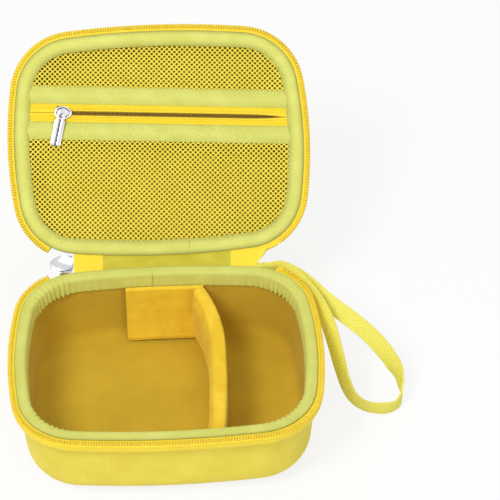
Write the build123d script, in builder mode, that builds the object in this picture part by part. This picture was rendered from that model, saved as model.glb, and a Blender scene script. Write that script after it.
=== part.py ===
from build123d import *
from math import asin, atan2, cos, degrees, hypot, radians, sin, sqrt, tan
import os

# Zipped hard-shell travel case for a handheld electronic game, standing open.
# X runs along the front, +Y is the hinge side, +Z is up, the origin is under the middle of the base.
# Near the rims a place is given by how far it lies outside the case's outline and by its depth
# from the parting plane, downward in the base and upward in the closed lid.

# Driving dimensions of the case
case_width = 180.0
case_depth = 140.0
base_height = 59.0
lid_height = 26.0
side_radius = 245.0
front_radius = 560.0
corner_radius = 36.0
draft = 4.0
lid_opening = 137.0

# Moulded shells, foam with its cloth and lining laminated to it
base_wall = 6.0
base_floor = 9.5
base_edge_radius = 22.0
base_inner_bevel = 7.0
lid_wall = 3.6
lid_floor = 3.4
lid_edge_radius = 13.0
lid_inner_bevel = 5.0
base_edge_steps = 3
lid_edge_steps = 3
floor_rim = 30.0

# Edge binding sewn over both rims
binding_thickness = 0.8
base_binding_depth = 10.0
lid_binding_width = 9.5

# Zip tape and its teeth
tape_reach = 4.1
tape_bead = 1.2
tape_bulge = 3.7
tape_bulge_depth = 5.4
tape_depth = 10.7
tape_edge = 0.9
tape_left_angle = 60.0
tape_right_angle = 62.0
tooth_pitch = 8.0
tooth_length = 3.0
tooth_width = 2.0
tooth_cross = 0.4
stop_length = 2.6

# Soft hinge at the back
hinge_offset = 3.9
hinge_cloth = 1.0
hinge_strip_depth = 10.5
hinge_bend_depth = 1.6
hinge_rise = 1.2
hinge_bend_steps = 3
hinge_sections = (-1.0, -0.5, 0.0, 0.5, 1.0)

# Zip slider, pocket slider and their pulls
slider_past_corner = 4.08
slider_length = 14.5
slider_width = 10.6
slider_channel = 2.6
slider_plate = 1.0
slider_post = 2.6
slider_stand = 0.5
slider_flange = 0.5
slider_shoulder = 6.0
slider_nose = ((0.75, 0.6), (1.0, 0.24))
slider_post_share = 0.7
pocket_slider_inset = 31.2
pocket_slider_length = 10.6
pocket_slider_width = 8.4
pocket_slider_channel = 2.0
pocket_slider_plate = 0.7
pocket_slider_flange = 0.25
pocket_slider_shoulder = 4.5
bail_width = 1.6
bail_bar = 0.7
bail_height = 2.1
bail_span = 3.0
pull_length = 21.5
pull_width = 6.2
pull_thickness = 1.0
pull_eye_bar = 1.0
pull_eye_hole = 2.8
pull_eye_width = 4.6
pull_groove_width = 1.5
pull_groove_depth = 0.35
pull_corner = 1.0
pocket_pull_slant = 11.0

# Net pocket in the lid
pocket_height = 17.5
pocket_slant = 3.0
slot_gap = 2.5
pocket_tape_reach = 5.6
pocket_band_width = 11.2
pocket_tape = 0.7
pocket_tape_depth = 1.3
pocket_band = 1.1
net_thickness = 0.8
net_hole_width = 16.4
net_hole_height = 9.6
net_pitch_x = 20.0
net_pitch_y = 5.9
net_border = 1.5
pocket_tooth_pitch = 8.0
pocket_tooth_length = 3.0
pocket_tooth_width = 1.0
pocket_tooth_height = 0.4
pocket_teeth_inset = 18.0

# Padded divider in the base; its places are measured in from the right side and the front or back
divider_thickness = 10.8
divider_top_gap = 5.0
divider_edge_round = 2.5
divider_flap = 3.0
divider_flap_end = 114.0
divider_front_end = (62.8, 4.0)
divider_front_middle = (60.0, 43.0)
divider_back_bend = (59.4, 60.0)
divider_back_end = (70.5, 13.0)
divider_foot_taper = 45.0
hook_strip = 0.8
hook_strip_height = 24.0
hook_strip_places = ((62.7, 8.0, -1), (94.0, 30.0, 1))

# Wrist strap of flat webbing, sewn down by both ends at the right back corner
strap_width = 10.5
strap_thickness = 1.4
strap_tab_first = 83.0
strap_tab_last = 76.0
strap_tab_thickness = 5.0
strap_bend_share = 0.45
strap_points = [
    (60.68, 67.58, 53.2),
    (65.2, 66.45, 53.2),
    (72.4, 68.9, 53.2),
    (81.0, 62.3, 53.2),
    (89.0, 51.5, 53.0),
    (94.2, 39.5, 52.5),
    (98.6, 27.3, 50.0),
    (103.0, 13.2, 39.0),
    (106.2, 0.8, 29.0),
    (111.0, -5.1, 16.5),
    (120.1, -6.7, 7.5),
    (133.0, -7.7, 5.9),
    (141.1, -4.4, 5.9),
    (144.1, 3.4, 8.0),
    (143.4, 12.6, 12.0),
    (137.8, 17.4, 23.5),
    (126.8, 24.8, 36.0),
    (113.1, 33.5, 44.5),
    (99.7, 44.0, 48.5),
    (85.4, 62.5, 51.5),
    (72.2, 70.9, 53.2),
    (65.53, 68.38, 53.2),
    (61.16, 69.47, 53.2),
]

# Clearances
rim_gap = 0.2
seam = 0.05
soft_gap = 0.3
running_gap = 0.4

lean = tan(radians(draft))
half_width = case_width / 2
half_depth = case_depth / 2
shell_rim = rim_gap + binding_thickness
down, up = -1, 1


def corner_centre():
    """Centre of the corner arc that is tangent to the bowed side and the bowed front."""
    side_centre = half_width - side_radius
    front_centre = half_depth - front_radius
    side_reach = side_radius - corner_radius
    front_reach = front_radius - corner_radius
    gap = hypot(side_centre, front_centre)
    along = (side_reach**2 - front_reach**2 + gap**2) / (2 * gap)
    across = sqrt(side_reach**2 - along**2)
    unit_x, unit_y = -side_centre / gap, front_centre / gap
    return side_centre + unit_x * along - unit_y * across, unit_y * along + unit_x * across


corner_x, corner_y = corner_centre()
side_angle = atan2(corner_y, corner_x - half_width + side_radius)
front_angle = atan2(corner_y - half_depth + front_radius, corner_x)
slider_tail = corner_x + slider_past_corner
hinge_strip_half = slider_tail - running_gap


def corner_point(angle, offset=0.0, flip_x=1, flip_y=1):
    """A point of a corner arc, moved out by an offset; the angle is from the X axis, in radians."""
    reach = corner_radius + offset
    return flip_x * (corner_x + reach * cos(angle)), flip_y * (corner_y + reach * sin(angle))


def corner_arc(first, last, offset, flip_x, flip_y):
    angles = (first, (first + last) / 2, last)
    ThreePointArc(*[corner_point(angle, offset, flip_x, flip_y) for angle in angles])


def side_arc(offset, flip_x):
    ends = [corner_point(side_angle, offset, flip_x, flip_y) for flip_y in (-1, 1)]
    ThreePointArc(ends[0], (flip_x * (half_width + offset), 0), ends[1])


def front_arc(offset, flip_y):
    ends = [corner_point(front_angle, offset, flip_x, flip_y) for flip_x in (-1, 1)]
    ThreePointArc(ends[0], (0, flip_y * (half_depth + offset)), ends[1])


def case_outline(offset=0.0):
    """The bowed outline of the case, seen from above, moved out by an offset."""
    for flip_x in (-1, 1):
        side_arc(offset, flip_x)
        for flip_y in (-1, 1):
            corner_arc(side_angle, front_angle, offset, flip_x, flip_y)
    for flip_y in (-1, 1):
        front_arc(offset, flip_y)


def zip_outline(offset=0.0):
    """The zip's line, from the left back corner round the front to the right back corner."""
    for flip_x, end_angle in ((-1, tape_left_angle), (1, tape_right_angle)):
        corner_arc(radians(end_angle), side_angle, offset, flip_x, 1)
        side_arc(offset, flip_x)
        corner_arc(side_angle, front_angle, offset, flip_x, -1)
    front_arc(offset, -1)


def inside_outline(x, y, offset):
    """Whether a point lies inside the outline moved out by an offset."""
    x, y = abs(x), abs(y)
    past_corner = side_angle < atan2(y - corner_y, x - corner_x) < front_angle
    if past_corner:
        return hypot(x - corner_x, y - corner_y) <= corner_radius + offset
    in_side = hypot(x - half_width + side_radius, y) <= side_radius + offset
    return in_side and hypot(x, y - half_depth + front_radius) <= front_radius + offset


# Parting plane, hinge line and the planes of the two halves
parting = base_height
hinge_y = half_depth + hinge_offset
hinge_z = parting + rim_gap
half_opening = radians(lid_opening / 2)


def opened(y, z):
    """Where a point of the closed lid lies once the lid has swung open."""
    turn = -2 * half_opening
    run, rise = y - hinge_y, z - hinge_z
    return hinge_y + run * cos(turn) - rise * sin(turn), hinge_z + run * sin(turn) + rise * cos(turn)


base_plane = Plane(origin=(0, 0, parting))
lid_plane = Plane(
    origin=(0, *opened(0, parting)),
    x_dir=(1, 0, 0),
    z_dir=(0, sin(radians(lid_opening)), cos(radians(lid_opening))),
)


def section_plane(plane, way, angle, flip_x, flip_y):
    """Plane for a rim's section: its x runs outward and its y is the depth from the parting."""
    outward = plane.x_dir * (flip_x * cos(angle)) + plane.y_dir * (flip_y * sin(angle))
    start = plane.from_local_coords(Vector(*corner_point(angle, 0, flip_x, flip_y)))
    return Plane(origin=start, x_dir=outward, z_dir=outward.cross(plane.z_dir * way))


def rim_ring(plane, way, section):
    """A section of the rim, as outward places and depths, swept all round the case."""
    with BuildPart() as ring:
        with BuildLine(plane) as path:
            case_outline()
        with BuildSketch(section_plane(plane, way, side_angle, 1, -1)):
            with BuildLine():
                Polyline(*section, close=True)
            make_face()
        sweep(path=path.wires()[0])
    return ring


def zip_strip(plane, way, section):
    """A section of the rim swept along the zip's line."""
    with BuildPart() as strip:
        with BuildLine(plane) as path:
            zip_outline()
        with BuildSketch(section_plane(plane, way, radians(tape_left_angle), -1, 1)):
            with BuildLine():
                Polyline(*section, close=True)
            make_face()
        sweep(path=path.wires()[0])
    return strip


def outer_round(height, edge_radius, edge_steps):
    """The moulded round between the leaning wall and the flat outside, as a few flats on its arc."""
    middle = height - edge_radius
    centre = -middle * lean - edge_radius / cos(radians(draft))
    turns = [radians(draft + (90 - draft) * step / edge_steps) for step in range(edge_steps + 1)]
    return [(centre + edge_radius * cos(turn), middle + edge_radius * sin(turn)) for turn in turns]


def shell(plane, way, height, wall, floor, edge_radius, edge_steps, inner_bevel):
    """A moulded half: its wall is swept round the bowed outline and its floor is filled in."""
    inner_depth = height - floor
    bevel_start = inner_depth - inner_bevel
    section = [
        (-shell_rim * lean, shell_rim),
        *outer_round(height, edge_radius, edge_steps),
        (-floor_rim, height),
        (-floor_rim, inner_depth),
        (-wall - inner_depth * lean - inner_bevel, inner_depth),
        (-wall - bevel_start * lean, bevel_start),
        (-wall - shell_rim * lean, shell_rim),
    ]
    ring = rim_ring(plane, way, section)
    with BuildPart() as half:
        add(ring.part)
        with BuildSketch(plane.offset(way * height)):
            with BuildLine():
                case_outline(-floor_rim)
            make_face()
        extrude(amount=-way * floor)
    return half


def zip_line(offset):
    """The zip's line moved out by an offset, as one wire to measure along."""
    with BuildLine() as path:
        zip_outline(offset)
    return path.wires()[0]


def spots_along(line, distances):
    """Places on a flat line, each turned to run along it."""
    spots = []
    for distance in distances:
        spot = line.position_at(distance, position_mode=PositionMode.LENGTH)
        aim = line.tangent_at(distance, position_mode=PositionMode.LENGTH)
        spots.append(Location((spot.X, spot.Y), degrees(atan2(aim.Y, aim.X))))
    return spots


def zip_teeth(plane, way, shift):
    """Teeth on the tape's edge; a shift of half a pitch lets one half's teeth mesh with the other's."""
    line = zip_line(tape_reach - tooth_width / 2)
    reach = line.length / 2 - stop_length - tooth_pitch
    count = int(reach / tooth_pitch)
    numbers = range(-count, count + (1 if shift == 0 else 0))
    distances = [line.length / 2 + (number + shift) * tooth_pitch for number in numbers]
    with BuildPart() as teeth:
        with BuildSketch(plane.offset(way * tape_bead)):
            with Locations(*spots_along(line, distances)):
                Rectangle(tooth_length, tooth_width)
        extrude(amount=-way * (tape_bead + tooth_cross))
    return teeth


def zip_stop(plane, way):
    """The metal stop at the right end of one row of teeth."""
    line = zip_line(tape_reach - tooth_width / 2)
    distances = [line.length - stop_length]
    with BuildPart() as stop:
        with BuildSketch(plane.offset(way * tape_bead)):
            with Locations(*spots_along(line, distances)):
                Rectangle(stop_length, tooth_width)
        extrude(amount=-way * (tape_bead - rim_gap))
    return stop


def slider(plane, length, width, channel, plate, flange, shoulder, post):
    """A zip slider: two plates joined by a post at the nose, with a bail for its pull on top.

    The plane lies in the middle of the tape, with its origin at the slider's tail, x to the nose.
    """
    top = channel / 2 + plate
    bail_x = shoulder - bail_width / 2
    nose = length - shoulder
    half_plate = [(0, width / 2), (shoulder, width / 2)]
    half_plate += [(shoulder + nose * along, width / 2 * across) for along, across in slider_nose]
    with BuildPart() as body:
        for level in (channel / 2, -top):
            with BuildSketch(plane.offset(level)):
                with BuildLine():
                    Polyline(*half_plate, *[(x, -y) for x, y in reversed(half_plate)], close=True)
                make_face()
            extrude(amount=plate)
        for level in (channel / 2 - flange, -channel / 2):
            with BuildSketch(plane.offset(level)):
                for side in (-1, 1):
                    with Locations((shoulder / 2, side * (width - plate) / 2)):
                        Rectangle(shoulder, plate)
            extrude(amount=flange)
        with BuildSketch(plane.offset(-channel / 2)):
            with Locations((shoulder + nose / 2, 0)):
                Rectangle(nose * slider_post_share, post)
        extrude(amount=channel)
        bail_start = plane.from_local_coords(Vector(bail_x, 0, 0))
        with BuildSketch(Plane(origin=bail_start, x_dir=plane.y_dir, z_dir=plane.x_dir)):
            with Locations((0, top + (bail_height + bail_bar) / 2)):
                outer = Rectangle(bail_span + 2 * bail_bar, bail_height + bail_bar)
            chamfer(outer.vertices().group_by(Axis.Y)[-1], bail_bar)
            with Locations((0, top + bail_height / 2)):
                Rectangle(bail_span, bail_height, mode=Mode.SUBTRACT)
        extrude(amount=bail_width)
    return body


def pull(plane):
    """A slider's pull: an eye round the bail and a blade with a groove; y runs to its tip."""
    eye_end = pull_eye_bar / 2 + pull_eye_hole + pull_eye_bar
    blade = pull_length - eye_end
    with BuildPart() as handle:
        with BuildSketch(plane.offset(-pull_thickness / 2)):
            with Locations((0, eye_end + blade / 2)):
                RectangleRounded(pull_width, blade, pull_corner)
            with Locations((0, (eye_end - pull_eye_bar / 2 + pull_corner) / 2)):
                Rectangle(pull_eye_width, eye_end + pull_eye_bar / 2 + pull_corner)
            with Locations((0, (pull_eye_bar + pull_eye_hole) / 2)):
                Rectangle(pull_eye_hole, pull_eye_hole, mode=Mode.SUBTRACT)
        extrude(amount=pull_thickness)
        with BuildSketch(plane.offset(pull_thickness / 2)):
            with Locations((0, eye_end + pull_corner + blade / 2)):
                Rectangle(pull_groove_width, blade)
        extrude(amount=-pull_groove_depth, mode=Mode.SUBTRACT)
    return handle


def pull_plane(slider_plane, shoulder, channel, plate, slant, swing):
    """Plane of a pull on its slider's bail, slanted in the slider's plane and swung out of it."""
    pivot = slider_plane.from_local_coords(Vector(shoulder, 0, channel / 2 + plate + bail_height / 2))
    along = slider_plane.x_dir * cos(radians(slant)) + slider_plane.y_dir * sin(radians(slant))
    flat = slider_plane.z_dir.cross(along)
    tip = flat * (-cos(radians(swing))) + slider_plane.z_dir * sin(radians(swing))
    return Plane(origin=pivot, x_dir=along * -1, z_dir=(along * -1).cross(tip))


# Moulded shells
base_shell = shell(
    base_plane,
    down,
    base_height,
    base_wall,
    base_floor,
    base_edge_radius,
    base_edge_steps,
    base_inner_bevel,
)
lid_shell = shell(
    lid_plane,
    up,
    lid_height,
    lid_wall,
    lid_floor,
    lid_edge_radius,
    lid_edge_steps,
    lid_inner_bevel,
)


# Edge bindings
def base_binding_inside(depth):
    return -base_wall - seam - binding_thickness - depth * lean


rim_outer = -shell_rim * lean
base_binding = rim_ring(
    base_plane,
    down,
    [
        (rim_outer, shell_rim),
        (rim_outer, rim_gap),
        (base_binding_inside(rim_gap), rim_gap),
        (base_binding_inside(base_binding_depth), base_binding_depth),
        (base_binding_inside(base_binding_depth) + binding_thickness, base_binding_depth),
        (base_binding_inside(shell_rim) + binding_thickness, shell_rim),
    ],
)
lid_binding = rim_ring(
    lid_plane,
    up,
    [
        (rim_outer, shell_rim),
        (rim_outer, rim_gap),
        (-lid_binding_width, rim_gap),
        (-lid_binding_width, shell_rim),
    ],
)


# Zip tapes, teeth and stops of both halves
def tape_inside(depth):
    return seam - depth * lean


tape_section = [
    (tape_inside(tape_bead), tape_bead),
    (tape_reach, tape_bead),
    (tape_bulge, tape_bulge_depth),
    (tape_inside(tape_depth) + tape_edge, tape_depth),
    (tape_inside(tape_depth), tape_depth),
]
base_zip_tape = zip_strip(base_plane, down, tape_section)
lid_zip_tape = zip_strip(lid_plane, up, tape_section)
base_zip_teeth = zip_teeth(base_plane, down, 0)
lid_zip_teeth = zip_teeth(lid_plane, up, 0.5)
base_zip_stop = zip_stop(base_plane, down)
lid_zip_stop = zip_stop(lid_plane, up)


# Soft hinge: one strip of cloth from the base's back wall over the hinge line to the lid's
def back_wall(x, depth, offset):
    radius = front_radius - depth * lean + offset
    return half_depth - front_radius + sqrt(radius**2 - x**2)


def hinge_strip_side(x, offset, rise):
    """One face of the strip at a place along the hinge, from its base end over the crown to its lid end."""
    end_y, bend_y = back_wall(x, hinge_strip_depth, offset), back_wall(x, hinge_bend_depth, offset)
    first = Vector(bend_y, parting - hinge_bend_depth)
    last = Vector(*opened(bend_y, parting + hinge_bend_depth))
    crown = Vector(hinge_y - rise * cos(half_opening), hinge_z + rise * sin(half_opening))
    control = crown * 2 - (first + last) / 2
    side = [(end_y, parting - hinge_strip_depth)]
    for step in range(hinge_bend_steps + 1):
        share = step / hinge_bend_steps
        spot = first * (1 - share) ** 2 + control * 2 * share * (1 - share) + last * share**2
        side.append((spot.X, spot.Y))
    return side + [opened(end_y, parting + hinge_strip_depth)]


with BuildPart() as hinge_strip:
    for share in hinge_sections:
        x = share * hinge_strip_half
        inner = hinge_strip_side(x, soft_gap, hinge_rise)
        outer = hinge_strip_side(x, soft_gap + hinge_cloth, hinge_rise - hinge_cloth)
        with BuildSketch(Plane(origin=(x, 0, 0), x_dir=(0, 1, 0), z_dir=(1, 0, 0))):
            with BuildLine():
                Polyline(*inner, *reversed(outer), close=True)
            make_face()
    loft(ruled=True)

# Zip slider, parked at the left end of the zip on the line between the two halves
slider_up = Vector(0, -cos(half_opening), sin(half_opening))
slider_plane = Plane(
    origin=Vector(-slider_tail, hinge_y, hinge_z) + slider_up * slider_stand,
    x_dir=(-1, 0, 0),
    z_dir=slider_up * -1,
)
zip_slider = slider(
    slider_plane,
    slider_length,
    slider_width,
    slider_channel,
    slider_plate,
    slider_flange,
    slider_shoulder,
    slider_post,
)
zip_pull = pull(pull_plane(slider_plane, slider_shoulder, slider_channel, slider_plate, 0, lid_opening / 2))

# Net pocket: two nets, their bands, and the zip between them, on one slanted line across the lid
slot_direction = lid_plane.x_dir * cos(radians(pocket_slant)) + lid_plane.y_dir * sin(radians(pocket_slant))
pocket_plane = Plane(
    origin=lid_plane.from_local_coords(Vector(0, -pocket_height, 0)),
    x_dir=slot_direction,
    z_dir=lid_plane.z_dir * -1,
)
pocket_reach = -lid_wall - running_gap
tape_top = pocket_tape_reach
band_top = pocket_tape_reach + pocket_band_width


def net_holes(low, high):
    """Centres of the net's staggered holes between two heights, clear of the binding over its edge."""
    spots = []
    rows = range(int(low / net_pitch_y) - 1, int(high / net_pitch_y) + 2)
    columns = range(-int(half_width / net_pitch_x) - 1, int(half_width / net_pitch_x) + 2)
    border = lid_binding_width + net_border
    for row in rows:
        y = row * net_pitch_y
        if not low + net_border + net_hole_height / 2 < y < high - net_border - net_hole_height / 2:
            continue
        for column in columns:
            x = (column + row % 2 / 2) * net_pitch_x
            spot = lid_plane.to_local_coords(pocket_plane.from_local_coords(Vector(x, y, 0)))
            ends = [spot.X - net_hole_width / 2, spot.X + net_hole_width / 2]
            if all(inside_outline(end, spot.Y, -border) for end in ends):
                spots.append((x, y))
    return spots


def pocket_piece(low, high, depth, thickness, holes=()):
    """A flat piece of the pocket between two heights, cut to the inside of the lid."""
    with BuildPart() as piece:
        with BuildSketch(pocket_plane.offset(-depth)):
            with Locations((0, (low + high) / 2)):
                Rectangle(case_width, high - low)
            if holes:
                half_hole = net_hole_width / 2
                rise = net_hole_height / 2
                with Locations(*holes):
                    Polygon((-half_hole, 0), (0, -rise), (half_hole, 0), (0, rise), mode=Mode.SUBTRACT)
        extrude(amount=-thickness)
        with BuildSketch(lid_plane.offset(depth)):
            with BuildLine():
                case_outline(pocket_reach)
            make_face()
        extrude(amount=thickness, mode=Mode.INTERSECT)
    return piece


net_top = band_top + case_depth
upper_net = pocket_piece(band_top, net_top, shell_rim, net_thickness, net_holes(band_top, half_depth))
lower_net = pocket_piece(-net_top, -band_top, shell_rim, net_thickness, net_holes(-case_depth, -band_top))
upper_band = pocket_piece(tape_top, band_top, shell_rim, pocket_band)
lower_band = pocket_piece(-band_top, -tape_top, shell_rim, pocket_band)
upper_pocket_tape = pocket_piece(slot_gap / 2, tape_top, pocket_tape_depth, pocket_tape)
lower_pocket_tape = pocket_piece(-tape_top, -slot_gap / 2, pocket_tape_depth, pocket_tape)


def pocket_teeth(side, shift):
    """A row of teeth along one edge of the pocket's slot."""
    count = int((half_width - pocket_teeth_inset) / pocket_tooth_pitch)
    y = side * (slot_gap + pocket_tooth_width) / 2
    spots = [((number + shift) * pocket_tooth_pitch, y) for number in range(-count, count + 1)]
    with BuildPart() as teeth:
        with BuildSketch(pocket_plane.offset(-pocket_tape_depth)):
            with Locations(*spots):
                Rectangle(pocket_tooth_length, pocket_tooth_width)
        extrude(amount=pocket_tooth_height)
    return teeth


upper_pocket_teeth = pocket_teeth(1, 0)
lower_pocket_teeth = pocket_teeth(-1, 0.5)

# Pocket slider and its pull
channel_middle = pocket_tape_depth + (pocket_tape - pocket_tooth_height) / 2
pocket_slider_plane = Plane(
    origin=pocket_plane.from_local_coords(
        Vector(pocket_slider_inset - half_width - pocket_slider_length / 2, 0, -channel_middle),
    ),
    x_dir=pocket_plane.x_dir,
    z_dir=pocket_plane.z_dir,
)
pocket_slider = slider(
    pocket_slider_plane,
    pocket_slider_length,
    pocket_slider_width,
    pocket_slider_channel,
    pocket_slider_plate,
    pocket_slider_flange,
    pocket_slider_shoulder,
    slot_gap - 2 * running_gap,
)
pocket_pull_tilt = degrees(asin((shell_rim + soft_gap) / pull_length))
pocket_pull = pull(
    pull_plane(
        pocket_slider_plane,
        pocket_slider_shoulder,
        pocket_slider_channel,
        pocket_slider_plate,
        -pocket_pull_slant,
        -pocket_pull_tilt,
    )
)

# Padded divider, curved across the base, with a thin flap along the back wall
divider_top = parting - divider_top_gap
divider_height = base_height - base_floor - divider_top_gap - soft_gap
foot_start = base_height - base_floor - base_inner_bevel
divider_flap_x = half_width - divider_flap_end


def from_front(place):
    """A place given by how far it is in from the right side and the front."""
    return half_width - place[0], place[1] - half_depth


def from_back(place):
    """A place given by how far it is in from the right side and the back."""
    return half_width - place[0], half_depth - place[1]


def base_room(inset):
    """The space inside the base from the divider's top down to its floor, less an inset all round."""
    with BuildPart() as room:
        for first, last, taper in (
            (divider_top_gap, foot_start, draft),
            (foot_start, base_height - base_floor - soft_gap, divider_foot_taper),
        ):
            level = Plane(origin=(0, 0, parting - first), x_dir=(1, 0, 0), z_dir=(0, 0, -1))
            with BuildSketch(level):
                with BuildLine():
                    case_outline(base_binding_inside(first) - soft_gap - inset)
                make_face()
            extrude(amount=last - first, taper=taper)
    return room.part


flap_room = base_room(0)
pad_room = base_room(hook_strip)
flap_core = base_room(hook_strip + divider_flap)
back_x, back_y = from_back(divider_back_end)
with BuildPart() as divider_pad:
    with BuildSketch(Plane.XY.offset(divider_top)):
        with BuildLine():
            front_run = ThreePointArc(
                from_front(divider_front_end),
                from_front(divider_front_middle),
                from_back(divider_back_bend),
            )
            TangentArc(front_run @ 1, (back_x, back_y), tangent=front_run % 1)
        trace(line_width=divider_thickness)
    extrude(amount=-divider_height)
    add(pad_room, mode=Mode.INTERSECT)
    sides = divider_pad.faces().sort_by(Axis.Z)[-1].edges().sort_by(SortBy.LENGTH)[-4:]
    chamfer(sides, divider_edge_round)
with BuildPart() as divider:
    with BuildSketch(Plane.XY.offset(divider_top)):
        with Locations(((divider_flap_x + back_x) / 2, half_depth)):
            Rectangle(back_x - divider_flap_x, half_depth)
    extrude(amount=-divider_height)
    add(pad_room, mode=Mode.INTERSECT)
    add(flap_core, mode=Mode.SUBTRACT)
    add(divider_pad.part)
with BuildPart() as hook_strips:
    for inset, width, flip_y in hook_strip_places:
        with BuildSketch(Plane.XY.offset(divider_top - divider_height / 2 - hook_strip_height / 2)):
            with Locations((half_width - inset, flip_y * half_depth)):
                Rectangle(width, half_depth)
        extrude(amount=hook_strip_height)
    add(flap_room, mode=Mode.INTERSECT)
    add(pad_room, mode=Mode.SUBTRACT)

# Strap tab: the folded webbing end, sewn flat on the right back corner
with BuildPart() as strap_tab:
    with BuildSketch(base_plane.offset(-shell_rim)):
        with BuildLine():
            first, last = radians(strap_tab_first), radians(strap_tab_last)
            corner_arc(first, last, seam, 1, 1)
            Line(corner_point(last, seam), corner_point(last, strap_tab_thickness))
            corner_arc(last, first, strap_tab_thickness, 1, 1)
            Line(corner_point(first, strap_tab_thickness), corner_point(first, seam))
        make_face()
    extrude(amount=-strap_width)

# Wrist strap: flat webbing swept along runs joined by tangent arcs
strap_radii = []
for before, here, after in zip(strap_points, strap_points[1:], strap_points[2:]):
    first_run, next_run = Vector(*here) - Vector(*before), Vector(*after) - Vector(*here)
    turn = first_run.get_angle(next_run)
    strap_radii.append(strap_bend_share * min(first_run.length, next_run.length) / tan(radians(turn) / 2))
with BuildPart() as wrist_strap:
    with BuildLine() as strap_path:
        FilletPolyline(*strap_points, radius=strap_radii)
    strap_wire = strap_path.wires()[0]
    strap_start = Vector(*strap_points[1]) - Vector(*strap_points[0])
    across_strap = strap_start.cross(Vector(0, 0, 1))
    with BuildSketch(Plane(origin=strap_points[0], x_dir=across_strap, z_dir=strap_start)):
        Rectangle(strap_thickness, strap_width)
    sweep(path=strap_wire)
print("strap length", round(strap_wire.length, 1))

pieces = {
    "base_shell": base_shell,
    "base_binding": base_binding,
    "base_zip_tape": base_zip_tape,
    "base_zip_teeth": base_zip_teeth,
    "base_zip_stop": base_zip_stop,
    "hinge_strip": hinge_strip,
    "strap_tab": strap_tab,
    "wrist_strap": wrist_strap,
    "lid_shell": lid_shell,
    "lid_binding": lid_binding,
    "lid_zip_tape": lid_zip_tape,
    "lid_zip_teeth": lid_zip_teeth,
    "lid_zip_stop": lid_zip_stop,
    "pocket_upper_net": upper_net,
    "pocket_lower_net": lower_net,
    "pocket_upper_band": upper_band,
    "pocket_lower_band": lower_band,
    "pocket_upper_tape": upper_pocket_tape,
    "pocket_lower_tape": lower_pocket_tape,
    "pocket_upper_teeth": upper_pocket_teeth,
    "pocket_lower_teeth": lower_pocket_teeth,
    "zip_slider": zip_slider,
    "zip_pull": zip_pull,
    "pocket_slider": pocket_slider,
    "pocket_pull": pocket_pull,
    "divider": divider,
    "divider_hook_strips": hook_strips,
}
os.makedirs("parts", exist_ok=True)
for name, piece in pieces.items():
    piece.part.label = name
    export_step(piece.part, f"parts/{name}.step")
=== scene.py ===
# %% [markdown]
# # A zipped travel case, dressed in cloth, zip and chrome
#
# The case is a moulded foam shell in two halves. Cloth is laminated to the foam, a woven binding is
# folded over both rims, and a zip is sewn on just outside the binding. The lid holds a net pocket with
# a zip of its own, the base a padded divider, and a short webbing strap leaves the right back corner.
#
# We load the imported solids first. They fix where everything is, and every piece made here takes the
# place of one of them, so nothing has to be fitted by eye.

# %% Load the frame
from math import atan2, ceil, cos, hypot, pi, radians, sin, sqrt, tan
import bmesh
import bpy
from mathutils import Matrix, Vector


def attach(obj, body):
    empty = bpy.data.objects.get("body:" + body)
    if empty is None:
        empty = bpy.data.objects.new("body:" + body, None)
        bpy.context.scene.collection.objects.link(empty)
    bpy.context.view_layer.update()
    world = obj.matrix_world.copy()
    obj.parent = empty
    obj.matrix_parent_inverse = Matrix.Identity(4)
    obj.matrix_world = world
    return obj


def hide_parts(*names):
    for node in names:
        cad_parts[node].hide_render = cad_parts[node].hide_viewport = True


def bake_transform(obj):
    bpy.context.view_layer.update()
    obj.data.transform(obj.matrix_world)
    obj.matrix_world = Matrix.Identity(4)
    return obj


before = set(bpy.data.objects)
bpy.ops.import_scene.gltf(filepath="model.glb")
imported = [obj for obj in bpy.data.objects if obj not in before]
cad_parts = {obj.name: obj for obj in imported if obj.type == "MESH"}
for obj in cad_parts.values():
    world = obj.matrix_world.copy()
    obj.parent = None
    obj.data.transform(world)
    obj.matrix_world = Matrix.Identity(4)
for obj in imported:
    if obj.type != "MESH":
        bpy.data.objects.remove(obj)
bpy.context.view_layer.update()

# %% [markdown]
# ## The case's own measures
#
# Lengths are in millimetres here and become metres when a point is made. A place near a rim is given by
# how far it lies outside the bowed outline and by its depth from the parting plane, downward in the
# base and upward in the closed lid. A bowed outline of tangent arcs has one handy property: the
# direction that points straight out of it grows all the way round, so it can number the stations.

# %% Measures of the case
mm = 0.001
case_width, case_depth = 180.0, 140.0
base_height, lid_height = 59.0, 26.0
side_radius, front_radius, corner_radius = 245.0, 560.0, 36.0
lid_opening = 137.0
lean = tan(radians(4.0))
hinge = Vector((0.0, 73.9, 59.2)) * mm

side_centre, front_centre = case_width / 2 - side_radius, case_depth / 2 - front_radius
between = hypot(side_centre, front_centre)
near = ((side_radius - corner_radius) ** 2 - (front_radius - corner_radius) ** 2 + between**2) / (2 * between)
off = sqrt((side_radius - corner_radius) ** 2 - near**2)
corner_x = side_centre + (-side_centre * near - front_centre * off) / between
corner_y = (front_centre * near - side_centre * off) / between
print("corner centre:", round(corner_x, 2), round(corner_y, 2))

# %% The outline as a chain of arcs
side_turn = atan2(corner_y, corner_x - side_centre) * 180 / pi
back_turn = atan2(corner_y - front_centre, corner_x) * 180 / pi
outline_arcs = [
    (0, front_centre, front_radius, 80, 180 - back_turn),
    (-corner_x, corner_y, corner_radius, 180 - back_turn, 180 - side_turn),
    (-side_centre, 0, side_radius, 180 - side_turn, 180 + side_turn),
    (-corner_x, -corner_y, corner_radius, 180 + side_turn, 180 + back_turn),
    (0, -front_centre, front_radius, 180 + back_turn, 360 - back_turn),
    (corner_x, -corner_y, corner_radius, 360 - back_turn, 360 - side_turn),
    (side_centre, 0, side_radius, 360 - side_turn, 360 + side_turn),
    (corner_x, corner_y, corner_radius, 360 + side_turn, 360 + back_turn),
    (0, front_centre, front_radius, 360 + back_turn, 460),
]


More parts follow.
